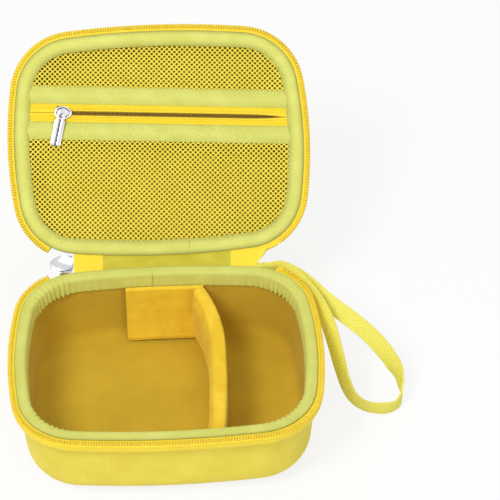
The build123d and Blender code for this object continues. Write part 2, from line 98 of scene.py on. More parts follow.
def walk(first, last, step):
    """Stations along the outline between two outward directions in degrees, at most a step apart."""
    stations, distance = [], 0.0
    for x, y, radius, start, end in outline_arcs:
        low, high = max(first, start), min(last, end)
        if high - low < 1e-6:
            continue
        length = radius * radians(high - low)
        count = ceil(length / step)
        for number in range(1 if stations else 0, count + 1):
            turn = low + (high - low) * number / count
            stations.append((x, y, radius, turn, distance + length * number / count))
        distance += length
    return stations


def rim_point(station, out, depth, way):
    """A point beside a station; way is -1 for the base and 1 for the closed lid."""
    x, y, radius, turn, _ = station
    reach = radius + out
    return Vector((x + reach * cos(radians(turn)), y + reach * sin(radians(turn)), base_height + way * depth)) * mm


def inside_outline(x, y, offset):
    """Whether a point in millimetres lies inside the outline moved out by an offset."""
    x, y = abs(x), abs(y)
    turn = atan2(y - corner_y, x - corner_x) * 180 / pi
    if side_turn < turn < back_turn:
        return hypot(x - corner_x, y - corner_y) <= corner_radius + offset
    in_side = hypot(x - side_centre, y) <= side_radius + offset
    return in_side and hypot(x, y - front_centre) <= front_radius + offset


whole_way = walk(90, 450, 4.0)
print("way round the outline:", round(whole_way[-1][4]), "mm in", len(whole_way), "stations")

# %% [markdown]
# The lid is modelled closed, where its shape is easy to give, and then swung open about the hinge line.

# %% Opening the lid
open_lid = Matrix.Translation(hinge) @ Matrix.Rotation(-radians(lid_opening), 4, "X") @ Matrix.Translation(-hinge)
lid_front = open_lid @ rim_point((0, 0, 0, 270, 0), case_depth / 2, 0, 1)
print("front of the open lid:", [round(v, 4) for v in lid_front])

# %% [markdown]
# ## The camera
#
# The photograph looks down at the case from the front, at 44 degrees, through a long lens that hardly
# narrows things with distance. The angles and the distance were fitted to the rims' corners.

# %% The camera
camera_up, camera_round = radians(44.45), radians(-2.94)
back = Vector((sin(camera_round) * cos(camera_up), -cos(camera_round) * cos(camera_up), sin(camera_up)))
right = (-back).cross(Vector((0, 0, 1))).normalized()
above = right.cross(-back)
camera_data = bpy.data.cameras.new("camera")
camera_data.sensor_width = 36.0
camera_data.lens = 2098 / 500 * 36.0
camera_data.clip_end = 20.0
camera = bpy.data.objects.new("camera", camera_data)
turned = Matrix((right, above, back)).transposed().to_4x4()
camera.matrix_world = Matrix.Translation(Vector((6.25, -851.4, 975.2)) * mm) @ turned
bpy.context.scene.collection.objects.link(camera)
bpy.context.scene.camera = camera
print("lens", round(camera_data.lens, 1), "mm")

# %% [markdown]
# ## Making a material
#
# Every finish below is built from nodes. Colours are written as the hex values that a paint chart or a
# picture editor shows, and one function turns them into the linear values that the renderer works in.
# One more function adds a node, sets it and wires it, so each finish reads as a short list of steps.

# %% Colours and nodes
def linear(code):
    """A hex colour as the linear values that the renderer needs."""
    parts = [int(code[i : i + 2], 16) / 255 for i in (1, 3, 5)]
    return [*[v / 12.92 if v <= 0.04045 else ((v + 0.055) / 1.055) ** 2.4 for v in parts], 1.0]


def add_node(material, kind, inputs=(), **settings):
    """Adds a node, and fills its inputs with plain values or with another node's output."""
    tree = material.node_tree
    node = tree.nodes.new("ShaderNode" + kind)
    for name, value in settings.items():
        setattr(node, name, value)
    for name, value in dict(inputs).items():
        if isinstance(value, bpy.types.NodeSocket):
            tree.links.new(value, node.inputs[name])
        else:
            node.inputs[name].default_value = value
    return node


def new_finish(name, roughness, metallic=0.0, sheen=0.0):
    """A material with a plain shader, whose constants sit on the shader itself."""
    material = bpy.data.materials.new(name)
    material.use_nodes = True
    shader = material.node_tree.nodes["Principled BSDF"]
    shader.inputs["Roughness"].default_value = roughness
    shader.inputs["Metallic"].default_value = metallic
    shader.inputs["Sheen Weight"].default_value = sheen
    shader.inputs["Sheen Roughness"].default_value = 0.5
    shader.inputs["Sheen Tint"].default_value = linear("#ffef9a")
    return material, shader


def dress(material, shader, colour, height, depth):
    """Wires a colour and a height pattern to the shader; depth is the relief in metres."""
    bump = add_node(material, "Bump", {"Height": height, "Distance": depth, "Strength": 1.0})
    material.node_tree.links.new(colour, shader.inputs["Base Color"])
    material.node_tree.links.new(bump.outputs["Normal"], shader.inputs["Normal"])


def bands(pitch):
    """The wave node's scale that gives one band in each pitch, in metres."""
    return pi / 10 / pitch


print("mid grey:", [round(v, 3) for v in linear("#808080")])

# %% [markdown]
# ## Shell cloth
#
# The outside is a knitted polyester glued to the foam. Its ribs run up the wall about a millimetre
# apart, and the loops between them are finer. Knit scatters light, so it is matt with a little sheen,
# and its colour drifts slightly where the cloth was stretched over the mould.

# %% Knitted polyester for the shell
shell_cloth, shader = new_finish("knitted polyester cloth", 0.86, sheen=0.25)
uv = add_node(shell_cloth, "TexCoord").outputs["UV"]
ribs = add_node(shell_cloth, "TexWave", {"Vector": uv, "Scale": bands(1.1 * mm), "Distortion": 0.6, "Detail": 1.0})
loops = add_node(
    shell_cloth,
    "TexWave",
    {"Vector": uv, "Scale": bands(0.9 * mm), "Distortion": 1.0},
    bands_direction="Y",
)
drift = add_node(shell_cloth, "TexNoise", {"Vector": uv, "Scale": 45.0, "Detail": 3.0})
fuzz = add_node(shell_cloth, "TexNoise", {"Vector": uv, "Scale": 1600.0, "Detail": 2.0})
height = add_node(shell_cloth, "Math", {0: ribs.outputs["Fac"], 1: loops.outputs["Fac"]}, operation="MULTIPLY")
height = add_node(shell_cloth, "Math", {0: height.outputs[0], 1: fuzz.outputs["Fac"]}, operation="ADD")
tint = add_node(shell_cloth, "ValToRGB", {"Fac": drift.outputs["Fac"]})
tint.color_ramp.elements[0].position, tint.color_ramp.elements[1].position = 0.3, 0.7
tint.color_ramp.elements[0].color, tint.color_ramp.elements[1].color = linear("#e2ce3e"), linear("#ecdb4e")
thread = add_node(
    shell_cloth,
    "Mix",
    {0: 0.13, 6: tint.outputs["Color"], 7: ribs.outputs["Color"]},
    data_type="RGBA",
    blend_type="OVERLAY",
)
dress(shell_cloth, shader, thread.outputs[2], height.outputs[0], 0.12 * mm)
print(shell_cloth.name)

# %% Twill for the hinge
hinge_cloth_in_painted_shade, shader = new_finish("polyester twill in painted shade", 0.88, sheen=0.1)
uv = add_node(hinge_cloth_in_painted_shade, "TexCoord").outputs["UV"]
parts = add_node(hinge_cloth_in_painted_shade, "SeparateXYZ", {"Vector": uv})
slant = add_node(hinge_cloth_in_painted_shade, "Math", {0: parts.outputs["X"], 1: parts.outputs["Y"]}, operation="ADD")
lines = add_node(hinge_cloth_in_painted_shade, "CombineXYZ", {"X": slant.outputs[0]})
twill = add_node(hinge_cloth_in_painted_shade, "TexWave", {"Vector": lines.outputs[0], "Scale": bands(0.9 * mm), "Distortion": 0.4})
drift = add_node(hinge_cloth_in_painted_shade, "TexNoise", {"Vector": uv, "Scale": 80.0, "Detail": 3.0})
# The strip is coloured darker than the shell as painted shade, for the shadow in the hollow between the halves.
tint = add_node(hinge_cloth_in_painted_shade, "ValToRGB", {"Fac": drift.outputs["Fac"]})
tint.color_ramp.elements[0].position, tint.color_ramp.elements[1].position = 0.3, 0.7
tint.color_ramp.elements[0].color, tint.color_ramp.elements[1].color = linear("#c4b62e"), linear("#d2c53c")
dress(hinge_cloth_in_painted_shade, shader, tint.outputs["Color"], twill.outputs["Fac"], 0.1 * mm)
print(hinge_cloth_in_painted_shade.name)

# %% [markdown]
# ## Lining
#
# The inside is a short looped pile in a darker mustard. Pile has no clear thread, only fine clumps, and
# it looks paler where the fibres are seen edge-on, which is what sheen is for.

# %% Looped pile for the lining
lining, shader = new_finish("looped pile lining", 0.95, sheen=0.12)
place = add_node(lining, "TexCoord").outputs["Object"]
clumps = add_node(lining, "TexNoise", {"Vector": place, "Scale": 900.0, "Detail": 3.0})
patches = add_node(lining, "TexNoise", {"Vector": place, "Scale": 40.0, "Detail": 2.0})
tint = add_node(lining, "ValToRGB", {"Fac": patches.outputs["Fac"]})
tint.color_ramp.elements[0].color, tint.color_ramp.elements[1].color = linear("#b8961c"), linear("#cfae2c")
dress(lining, shader, tint.outputs["Color"], clumps.outputs["Fac"], 0.25 * mm)
print(lining.name)

# %% [markdown]
# ## Binding
#
# The rims are bound with a herringbone tape. The yarn runs in slanted rows that turn back every few
# millimetres, and the tape is lighter and greener than the shell. Real rows are about 0.6 mm apart;
# they are drawn at 1.2 mm, because finer ones would not show at this distance. Light and shade are
# also painted across each tape: painted shade at its edges and stitch line, painted light on its crown.

# %% Herringbone tape for the bindings
def herringbone(name, width, painted_shading):
    """Binding tape; the last argument lists pairs of millimetres across the tape and how bright it is painted there,
    as painted shade and painted light.
    """
    cloth, shader = new_finish(name, 0.82, sheen=0.25)
    uv = add_node(cloth, "TexCoord").outputs["UV"]
    parts = add_node(cloth, "SeparateXYZ", {"Vector": uv})
    fold = add_node(cloth, "Math", {0: parts.outputs["Y"], 1: 2.4 * mm}, operation="PINGPONG")
    slant = add_node(cloth, "Math", {0: parts.outputs["X"], 1: fold.outputs[0]}, operation="ADD")
    along = add_node(cloth, "CombineXYZ", {"X": slant.outputs[0], "Y": parts.outputs["Y"]})
    rows = add_node(cloth, "TexWave", {"Vector": along.outputs[0], "Scale": bands(1.2 * mm), "Distortion": 0.5})
    fuzz = add_node(cloth, "TexNoise", {"Vector": uv, "Scale": 1400.0, "Detail": 2.0})
    drift = add_node(cloth, "TexNoise", {"Vector": uv, "Scale": 70.0, "Detail": 2.0})
    tint = add_node(cloth, "ValToRGB", {"Fac": drift.outputs["Fac"]})
    tint.color_ramp.elements[0].position, tint.color_ramp.elements[1].position = 0.3, 0.7
    tint.color_ramp.elements[0].color, tint.color_ramp.elements[1].color = linear("#d6d864"), linear("#e2e378")
    # Painted shade and painted light across the tape: darker edges and a lighter crown, standing in for how light
    # falls on the folded tape.
    share = add_node(cloth, "Math", {0: parts.outputs["Y"], 1: width * mm}, operation="DIVIDE")
    shade = add_node(cloth, "ValToRGB", {"Fac": share.outputs[0]})
    for place, light in painted_shading[1:-1]:
        shade.color_ramp.elements.new(place / width)
    for stop, (place, light) in zip(shade.color_ramp.elements, painted_shading):
        stop.position, stop.color = place / width, (light, light, light, 1.0)
    shaded = add_node(
        cloth, "Mix", {0: 1.0, 6: tint.outputs["Color"], 7: shade.outputs["Color"]}, data_type="RGBA", blend_type="MULTIPLY"
    )
    thread = add_node(
        cloth, "Mix", {0: 0.3, 6: shaded.outputs[2], 7: rows.outputs["Color"]}, data_type="RGBA", blend_type="OVERLAY"
    )
    height = add_node(cloth, "Math", {0: rows.outputs["Fac"], 1: fuzz.outputs["Fac"]}, operation="ADD")
    dress(cloth, shader, thread.outputs[2], height.outputs[0], 0.15 * mm)
    return cloth


# How bright each tape is painted across its width: painted shade at the edges and the stitch line, painted light over
# the crown and the base's inner leg.
base_painted_shading = [(0.0, 0.5), (0.7, 0.6), (1.6, 0.86), (4.5, 0.92), (7.6, 0.88), (9.5, 1.0), (15.6, 1.0), (16.4, 0.8), (17.3, 0.95)]
lid_painted_shading = [(0.0, 0.45), (0.9, 0.58), (1.9, 0.84), (3.6, 0.99), (6.2, 0.97), (8.0, 0.84), (9.4, 0.7), (10.2, 0.66)]
base_cloth = herringbone("herringbone polyester tape", 18.0, base_painted_shading)
lid_cloth = herringbone("crowned herringbone polyester tape", 10.4, lid_painted_shading)
band_cloth = herringbone("pocket herringbone tape", 12.0, [(0.0, 0.7), (1.2, 0.86), (6.0, 0.96), (10.8, 0.86), (12.0, 0.7)])
print(base_cloth.name, lid_cloth.name, band_cloth.name)

# %% [markdown]
# ## Zip tape, coil and thread
#
# A zip's tape is a tight polyester weave, smoother and brighter than the cloths beside it. The coil is
# nylon monofilament, a little shiny. Sewing thread is twisted polyester.

# %% Woven zip tape
zip_tape, shader = new_finish("woven polyester zip tape", 0.62, sheen=0.15)
uv = add_node(zip_tape, "TexCoord").outputs["UV"]
warp = add_node(zip_tape, "TexWave", {"Vector": uv, "Scale": bands(0.8 * mm)}, bands_direction="Y")
weft = add_node(zip_tape, "TexWave", {"Vector": uv, "Scale": bands(0.7 * mm), "Distortion": 0.4})
drift = add_node(zip_tape, "TexNoise", {"Vector": uv, "Scale": 60.0, "Detail": 2.0})
height = add_node(zip_tape, "Math", {0: warp.outputs["Fac"], 1: weft.outputs["Fac"]}, operation="ADD")
tint = add_node(zip_tape, "ValToRGB", {"Fac": drift.outputs["Fac"]})
tint.color_ramp.elements[0].color, tint.color_ramp.elements[1].color = linear("#f0d21e"), linear("#fbe236")
thread = add_node(
    zip_tape,
    "Mix",
    {0: 0.18, 6: tint.outputs["Color"], 7: weft.outputs["Color"]},
    data_type="RGBA",
    blend_type="OVERLAY",
)
dress(zip_tape, shader, thread.outputs[2], height.outputs[0], 0.08 * mm)
print(zip_tape.name)

# %% Nylon coil, coil in painted shade and sewing thread
def nylon(name, dark, light, roughness):
    """Monofilament: smooth, with a slight drift of colour between the turns."""
    material, shader = new_finish(name, roughness)
    place = add_node(material, "TexCoord").outputs["Object"]
    noise = add_node(material, "TexNoise", {"Vector": place, "Scale": 350.0, "Detail": 2.0})
    tint = add_node(material, "ValToRGB", {"Fac": noise.outputs["Fac"]})
    tint.color_ramp.elements[0].color, tint.color_ramp.elements[1].color = linear(dark), linear(light)
    dress(material, shader, tint.outputs["Color"], noise.outputs["Fac"], 0.04 * mm)
    return material


coil = nylon("nylon monofilament coil", "#e6c428", "#fbe246", 0.42)
# The pocket's coil is drawn brown as painted shade: its turns lie in shadow in the slot under the tapes.
painted_shade_coil = nylon("nylon coil in painted shade", "#7a5c14", "#a8842a", 0.5)
sewing_thread = nylon("twisted polyester thread", "#c9b838", "#e4d65a", 0.7)
print(coil.name, painted_shade_coil.name, sewing_thread.name)

# %% [markdown]
# ## Net, strap, fleece and hook tape
#
# The net is a warp-knitted polyester, a mustard yarn about half a millimetre thick. The strap is heavy
# ribbed webbing. The divider is foam in a brushed fleece, and its ends hold by strips of hook tape.

# %% Knitted net
net_yarn, shader = new_finish("warp knitted polyester net", 0.75, sheen=0.2)
place = add_node(net_yarn, "TexCoord").outputs["Object"]
twist = add_node(net_yarn, "TexNoise", {"Vector": place, "Scale": 1500.0, "Detail": 2.0})
drift = add_node(net_yarn, "TexNoise", {"Vector": place, "Scale": 60.0})
tint = add_node(net_yarn, "ValToRGB", {"Fac": drift.outputs["Fac"]})
tint.color_ramp.elements[0].color, tint.color_ramp.elements[1].color = linear("#dfcc34"), linear("#efe04a")
dress(net_yarn, shader, tint.outputs["Color"], twist.outputs["Fac"], 0.1 * mm)
print(net_yarn.name)

# %% Ribbed webbing
webbing, shader = new_finish("ribbed polyester webbing", 0.72, sheen=0.2)
uv = add_node(webbing, "TexCoord").outputs["UV"]
picks = add_node(webbing, "TexWave", {"Vector": uv, "Scale": bands(1.3 * mm), "Distortion": 0.3})
ends = add_node(webbing, "TexWave", {"Vector": uv, "Scale": bands(1.5 * mm)}, bands_direction="Y")
height = add_node(webbing, "Math", {0: picks.outputs["Fac"], 1: ends.outputs["Fac"]}, operation="ADD")
tint = add_node(webbing, "ValToRGB", {"Fac": picks.outputs["Fac"]})
tint.color_ramp.elements[0].color, tint.color_ramp.elements[1].color = linear("#e0d64a"), linear("#efe86c")
dress(webbing, shader, tint.outputs["Color"], height.outputs[0], 0.1 * mm)
print(webbing.name)

# %% Brushed fleece
fleece, shader = new_finish("brushed polyester fleece", 0.92, sheen=0.15)
place = add_node(fleece, "TexCoord").outputs["Object"]
nap = add_node(fleece, "TexNoise", {"Vector": place, "Scale": 700.0, "Detail": 4.0, "Roughness": 0.6})
patches = add_node(fleece, "TexNoise", {"Vector": place, "Scale": 90.0, "Detail": 2.0})
tint = add_node(fleece, "ValToRGB", {"Fac": patches.outputs["Fac"]})
tint.color_ramp.elements[0].position, tint.color_ramp.elements[1].position = 0.3, 0.7
tint.color_ramp.elements[0].color, tint.color_ramp.elements[1].color = linear("#e6ba1e"), linear("#f2cb34")
dress(fleece, shader, tint.outputs["Color"], nap.outputs["Fac"], 0.3 * mm)
print(fleece.name)

# %% Hook tape
hook_tape, shader = new_finish("nylon hook tape", 0.6)
place = add_node(hook_tape, "TexCoord").outputs["Object"]
hooks = add_node(hook_tape, "TexVoronoi", {"Vector": place, "Scale": 700.0}, feature="F1")
tint = add_node(hook_tape, "ValToRGB", {"Fac": hooks.outputs["Distance"]})
tint.color_ramp.elements[0].color, tint.color_ramp.elements[1].color = linear("#dcc85a"), linear("#b89a2a")
dress(hook_tape, shader, tint.outputs["Color"], hooks.outputs["Distance"], -0.4 * mm)
print(hook_tape.name)

# %% [markdown]
# ## Chrome
#
# The sliders and their pulls are die-cast zinc with a bright nickel and chrome plating. Plating copies
# the casting below it, so there are faint waves under the shine, and the colour is a cool light grey.
# The pull's groove, a ring sunk round the slider's top and the slider's upright sides take a second,
# dark finish: painted shade and painted reflection, as the pale sky gives the metal nothing dark to
# mirror. That gives the pull its dark line down the middle.

# %% Chrome-plated zinc
def plated(name, dark, light, smoothest, roughest):
    material, shader = new_finish(name, 0.2, metallic=1.0)
    place = add_node(material, "TexCoord").outputs["Object"]
    waves = add_node(material, "TexNoise", {"Vector": place, "Scale": 260.0, "Detail": 2.0})
    handled = add_node(material, "TexNoise", {"Vector": place, "Scale": 900.0, "Detail": 3.0})
    rough = add_node(material, "MapRange", {"Value": handled.outputs["Fac"], "To Min": smoothest, "To Max": roughest})
    material.node_tree.links.new(rough.outputs["Result"], shader.inputs["Roughness"])
    tint = add_node(material, "ValToRGB", {"Fac": waves.outputs["Fac"]})
    tint.color_ramp.elements[0].color, tint.color_ramp.elements[1].color = linear(dark), linear(light)
    dress(material, shader, tint.outputs["Color"], waves.outputs["Fac"], 0.03 * mm)
    return material


chrome = plated("chrome plated cast zinc", "#c4c5ca", "#dedfe3", 0.08, 0.24)
# The second finish is the same metal painted dark, as painted shade and painted reflection.
painted_shade_chrome = plated("chrome darkened as painted shade and reflection", "#46474c", "#66676d", 0.3, 0.5)
print(chrome.name, painted_shade_chrome.name)

# %% [markdown]
# ## Skinning a row of sections
#
# Most of this case is a section carried along a line: wall round the outline, tape round the rim, strap
# along its route. The helper starts with the vertices of the first section and extrudes its edges from
# one section to the next. It also writes how far each corner has come along and across, in metres, as
# the piece's own UV map, so weaves follow the cloth and keep their real size.

# %% The skin helper
def rounded(corners, steps=4):
    """A chain of points whose corners, each given with a radius, are turned into short curves."""
    chain = []
    for index, (x, y, radius) in enumerate(corners):
        here = Vector((x, y))
        if radius == 0 or index in (0, len(corners) - 1):
            chain.append((x, y))
            continue
        before, after = Vector(corners[index - 1][:2]), Vector(corners[index + 1][:2])
        first = here + (before - here).normalized() * min(radius, (before - here).length * 0.49)
        last = here + (after - here).normalized() * min(radius, (after - here).length * 0.49)
        for step in range(steps + 1):
            share = step / steps
            spot = first * (1 - share) ** 2 + here * 2 * share * (1 - share) + last * share**2
            chain.append((spot.x, spot.y))
    return chain


def skin(rows, along, second_from=None, fan=None):
    """Extrudes the first row of points from row to row; faces past a point of the row get slot 1.

    With a fan of directions, one for each row, cloth is laid out from the row's first point that way.
    """
    mesh = bmesh.new()
    number, line = mesh.verts.layers.int.new("number"), mesh.verts.layers.int.new("line")
    across = [0.0]
    for before, after in zip(rows[0], rows[0][1:]):
        across.append(across[-1] + (after - before).length)
    first = []
    for index, point in enumerate(rows[0]):
        vertex = mesh.verts.new(point)
        vertex[number] = index
        first.append(vertex)
    edges = [mesh.edges.new(pair) for pair in zip(first, first[1:])]
    for row_number, row in enumerate(rows[1:], 1):
        made = bmesh.ops.extrude_edge_only(mesh, edges=edges)["geom"]
        fresh = {item for item in made if isinstance(item, bmesh.types.BMVert)}
        for vertex in fresh:
            vertex.co = row[vertex[number]]
            vertex[line] = row_number
        edges = [
            item
            for item in made
            if isinstance(item, bmesh.types.BMEdge) and item.verts[0] in fresh and item.verts[1] in fresh
        ]
    uv_layer = mesh.loops.layers.uv.new("UVMap")
    for face in mesh.faces:
        for corner in face.loops:
            row, reach = corner.vert[line], across[corner.vert[number]]
            corner[uv_layer].uv = rows[row][0].xy + fan[row] * reach if fan else (along[row] * mm, reach)
        if second_from is not None and min(corner.vert[number] for corner in face.loops) >= second_from:
            face.material_index = 1
    bmesh.ops.remove_doubles(mesh, verts=mesh.verts, dist=1e-6)
    return mesh


def close_ends(mesh):
    """Fills every open loop of a mesh and gives the new faces flat UVs."""
    uv_layer = mesh.loops.layers.uv["UVMap"]
    edges = [edge for edge in mesh.edges if edge.is_boundary]
    for face in bmesh.ops.holes_fill(mesh, edges=edges, sides=0)["faces"]:
        flat = 2 if abs(face.normal.z) > 0.5 else 0
        for corner in face.loops:
            place = corner.vert.co
            corner[uv_layer].uv = (place.x, place.y) if flat else (place.y + place.x, place.z)
    return mesh


def rim_rows(stations, section, way, shape=None):
    """The points of a section at each station; shape may move a point at its station."""
    rows = []
    for station in stations:
        points = section if shape is None else [shape(station, out, depth) for out, depth in section]
        rows.append([rim_point(station, out, depth, way) for out, depth in points])
    return rows


def add_piece(mesh, name, materials, body, replaced=(), crease=35, turn_out=True):
    """Turns a mesh into a smooth-shaded piece that rides on a body and stands for the given nodes."""
    if turn_out:
        bmesh.ops.recalc_face_normals(mesh, faces=mesh.faces)
    data = bpy.data.meshes.new(name)
    mesh.to_mesh(data)
    mesh.free()
    for material in materials:
        data.materials.append(material)
    data.shade_smooth()
    data.set_sharp_from_angle(angle=radians(crease))
    piece = bpy.data.objects.new(name, data)
    bpy.context.scene.collection.objects.link(piece)
    if body:
        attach(piece, body)
    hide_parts(*replaced)
    print(name, len(data.polygons), "faces")
    return piece


def opened(mesh):
    """Swings a mesh of the closed lid open."""
    bmesh.ops.transform(mesh, matrix=open_lid, verts=mesh.verts)
    return mesh


print("helpers ready")

# %% [markdown]
# ## The moulded halves
#
# Each half is pressed from foam between two cloths. One closed section says it all: down the leaning
# outside wall, round the big edge radius, under the bottom, and back up the lining. Foam and cloth are
# soft when the mould closes, so its radii are large and even. The cloth is one flat sheet before that,
# so its ribs run straight across the bottom and on up the front wall; a fan of directions lays its map
# out in the same way. The middle of the floor is one flat face.

# %% Sections of the halves
def shell_section(height, wall, floor, edge_radius, inner_radius):
    """Outside and inside of a half as one chain from under the floor over the rim to the floor's lining."""
    start = height - edge_radius
    centre = -start * lean - edge_radius / cos(radians(4.0))
    outside = [(-30.0, height)]
    for step in range(13):
        turn = radians(90 - 86 * step / 12)
        outside.append((centre + edge_radius * cos(turn), start + edge_radius * sin(turn)))
    outside += [(-start * share * lean, start * share) for share in (0.8, 0.6, 0.4, 0.2)]
    outside.append((-1.0 * lean, 1.0))
    floor_depth = height - floor
    inside = rounded(
        [
            (-wall - 1.0 * lean, 1.0, 0),
            (-wall - floor_depth * lean * 0.5, floor_depth * 0.5, 0),
            (-wall - floor_depth * lean, floor_depth, inner_radius),
            (-30.0, floor_depth, 0),
        ],
        steps=6,
    )
    return outside + inside, len(outside)


base_section, base_lining_from = shell_section(base_height, 6.0, 9.5, 22.0, 9.0)
fan = [Vector((cos(radians(s[3])), sin(radians(s[3])))) for s in whole_way]
mesh = skin(rim_rows(whole_way, base_section, -1), [s[4] for s in whole_way], base_lining_from, fan)
close_ends(mesh)
for face in mesh.faces:
    if len(face.verts) > 20 and face.calc_center_median().z > 5 * mm:
        face.material_index = 1
add_piece(mesh, "base_half", [shell_cloth, lining], "base", ["base_shell"])

# %% The lid's half
lid_section, lid_lining_from = shell_section(lid_height, 3.6, 3.4, 13.0, 7.0)
mesh = skin(rim_rows(whole_way, lid_section, 1), [s[4] for s in whole_way], lid_lining_from, fan)
close_ends(mesh)
for face in mesh.faces:
    if len(face.verts) > 20 and face.calc_center_median().z < (base_height + lid_height - 1) * mm:
        face.material_index = 1
add_piece(opened(mesh), "lid_half", [shell_cloth, lining], "lid", ["lid_shell"])

# %% [markdown]
# ## Bindings
#
# The base's binding is folded over the foam rim and sewn through it, 10 mm down the inside. A straight
# tape has to go round inside corners there, so it gathers: its lower edge is drawn into small pleats.
# The pleats are a ripple of the lower points only, strongest in the corners. Where the tape's two ends
# meet, at the back, one laps over the other.

# %% Gathers
def in_corner(turn):
    """1 in the middle of a corner and 0 on a side, rising softly between."""
    share = 0.0
    for middle in (128 + 4.8, 232 - 4.8, 308 + 4.8, 412 - 4.8):
        share = max(share, 1 - abs(turn - middle) / 46)
    share = max(0.0, min(1.0, share * 1.6))
    return share * share * (3 - 2 * share)


def pleats(distance, pitch):
    """Soft folds of uneven width with sharp valleys between them, from 0 to 1."""
    return abs(sin(pi * distance / pitch + 0.9 * sin(distance / 11.0)))


def gathered(station, out, depth):
    """Pulls the binding's inner leg into pleats, which run out over the rim."""
    turn, distance = station[3], station[4]
    low = min(1.0, 0.45 + max(0.0, depth) / 14.0) if out < -5.5 else 0.0
    top = max(0.0, min(1.0, (-out - 1.5) / 4.5)) if depth < 1.5 else 0.0
    share = 0.12 + 0.88 * in_corner(turn)
    fold = pleats(distance, 4.6)
    scallop = (pleats(distance + 2.0, 3.9) - 0.5) * min(1.0, depth / 9.0)
    return out - low * share * 1.7 * fold, depth + top * share * 0.6 * (1 - fold) + low * share * 1.5 * scallop


def inner_leg(depth, extra=0.0):
    return -6.85 - depth * lean - extra


def base_binding_section(extra):
    """The binding over the base's rim, as a closed loop; extra makes the lap stand proud."""
    return rounded(
        [
            (-0.07, 1.0, 0),
            (-0.02 + extra, 0.6, 0.3),
            (-0.1, 0.25 - extra * 0.5, 0.6),
            (-3.2, 0.12 - extra * 0.5, 1.5),
            (inner_leg(0.3, extra), 0.35, 1.9),
            (inner_leg(4.0, extra), 4.0, 0),
            (inner_leg(7.0, extra), 7.0, 0),
            (inner_leg(9.2, extra), 9.2, 0),
            (inner_leg(10.0, extra), 10.0, 0.3),
            (inner_leg(10.0) + 0.75, 9.9, 0.3),
            (inner_leg(7.0) + 0.8, 7.0, 0),
            (inner_leg(4.0) + 0.8, 4.0, 0),
            (inner_leg(1.2) + 0.8, 1.2, 0.3),
            (-3.0, 1.0, 0),
            (-0.07, 1.0, 0),
        ],
        steps=3,
    )


def lapped(stations, section, way, shape, lift, at_start):
    """A band round the rim whose one end is lifted over the other."""
    rows = []
    for station in stations:
        gone = station[4] if at_start else stations[-1][4] - station[4]
        rows += rim_rows([station], section(lift * max(0.0, 1 - gone / 14)), way, shape)
    return close_ends(skin(rows, [s[4] for s in stations]))


base_way = walk(90.73, 450.71, 0.85)
mesh = lapped(base_way, base_binding_section, -1, gathered, 0.3, False)
binding = add_piece(mesh, "base_rim_binding", [base_cloth], "base", ["base_binding"], crease=50)

# %% [markdown]
# The lid's binding lies nearly flat over a thin rim. It is crowned a little across its width, and its
# inner edge, where it is sewn through the net, gathers in the corners too.

# %% The lid's binding
def lid_gathered(station, out, depth):
    turn, distance = station[3], station[4]
    low = max(0.0, min(1.0, (-out - 2.5) / 7.0))
    share = 0.2 + 0.8 * in_corner(turn)
    valley = 1 - pleats(distance, 4.8)
    return out + low * share * 0.35 * (0.5 - valley), depth + low * share * 0.5 * valley


def lid_binding_section(extra):
    return rounded(
        [
            (-0.07, 1.2, 0),
            (-0.02, 0.8, 0.2),
            (-0.9, 0.45 - extra, 0.9),
            (-3.4, 0.02 - extra, 1.4),
            (-6.0, 0.12 - extra, 1.4),
            (-8.4, 0.72 - extra, 0.8),
            (-9.5, 0.95, 0.3),
            (-9.5, 1.25, 0.1),
            (-4.0, 1.2, 0),
            (-0.07, 1.2, 0),
        ],
        steps=3,
    )


lid_way = walk(88.3, 448.28, 0.85)
mesh = opened(lapped(lid_way, lid_binding_section, 1, lid_gathered, 0.12, True))
binding = add_piece(mesh, "lid_rim_binding", [lid_cloth], "lid", ["lid_binding"], crease=50)

# %% [markdown]
# ## Zip tapes
#
# Each tape is sewn to the wall by its lower edge and leans out to carry the coil level with the rim. A
# fold line runs along it half way down, where it was pressed, and below that the sewn edge. The coil
# ends at the right back corner, but the lid's tape goes on round it as a tail that meets the hinge.

# %% Zip tapes of both rims
tape_section = rounded(
    [
        (0.05, 1.2, 0),
        (3.2, 1.2, 0.3),
        (4.1, 1.7, 0.6),
        (4.05, 3.4, 0.4),
        (3.55, 4.2, 0.4),
        (3.85, 5.2, 0.6),
        (3.1, 7.6, 1.2),
        (1.5, 9.8, 0.8),
        (0.95 - 10.7 * lean, 10.7, 0.3),
        (0.05 - 10.7 * lean, 10.7, 0),
        (0.05, 1.2, 0),
    ],
    steps=3,
)
for way, side, last in ((-1, "base", 422), (1, "lid", 445)):
    zip_way = walk(120, last, 3.0)
    mesh = close_ends(skin(rim_rows(zip_way, tape_section, way), [s[4] for s in zip_way]))
    if way == 1:
        opened(mesh)
    add_piece(mesh, side + "_rim_tape", [zip_tape], side, [side + "_zip_tape"])

# %% [markdown]
# ## Teeth and stitches
#
# Small shapes that come in hundreds are made once, with few faces, and repeated. The coil's turns are
# short rounded bars across the tape's edge, one every 1.6 mm, and those of one half stand between
# those of the other. A stitch is a bar of thread with rounded ends.

# %% Repeating a small shape
def bar(length, width, height, round_off):
    """A small bar with softened edges, centred on the origin."""
    mesh = bmesh.new()
    bmesh.ops.create_cube(mesh, size=1.0)
    bmesh.ops.scale(mesh, vec=Vector((length, width, height)) * mm, verts=mesh.verts)
    bmesh.ops.bevel(
        mesh,
        geom=mesh.edges,
        offset=round_off * mm,
        segments=1,
        profile=0.5,
        affect="EDGES",
        material=-1,
    )
    return mesh


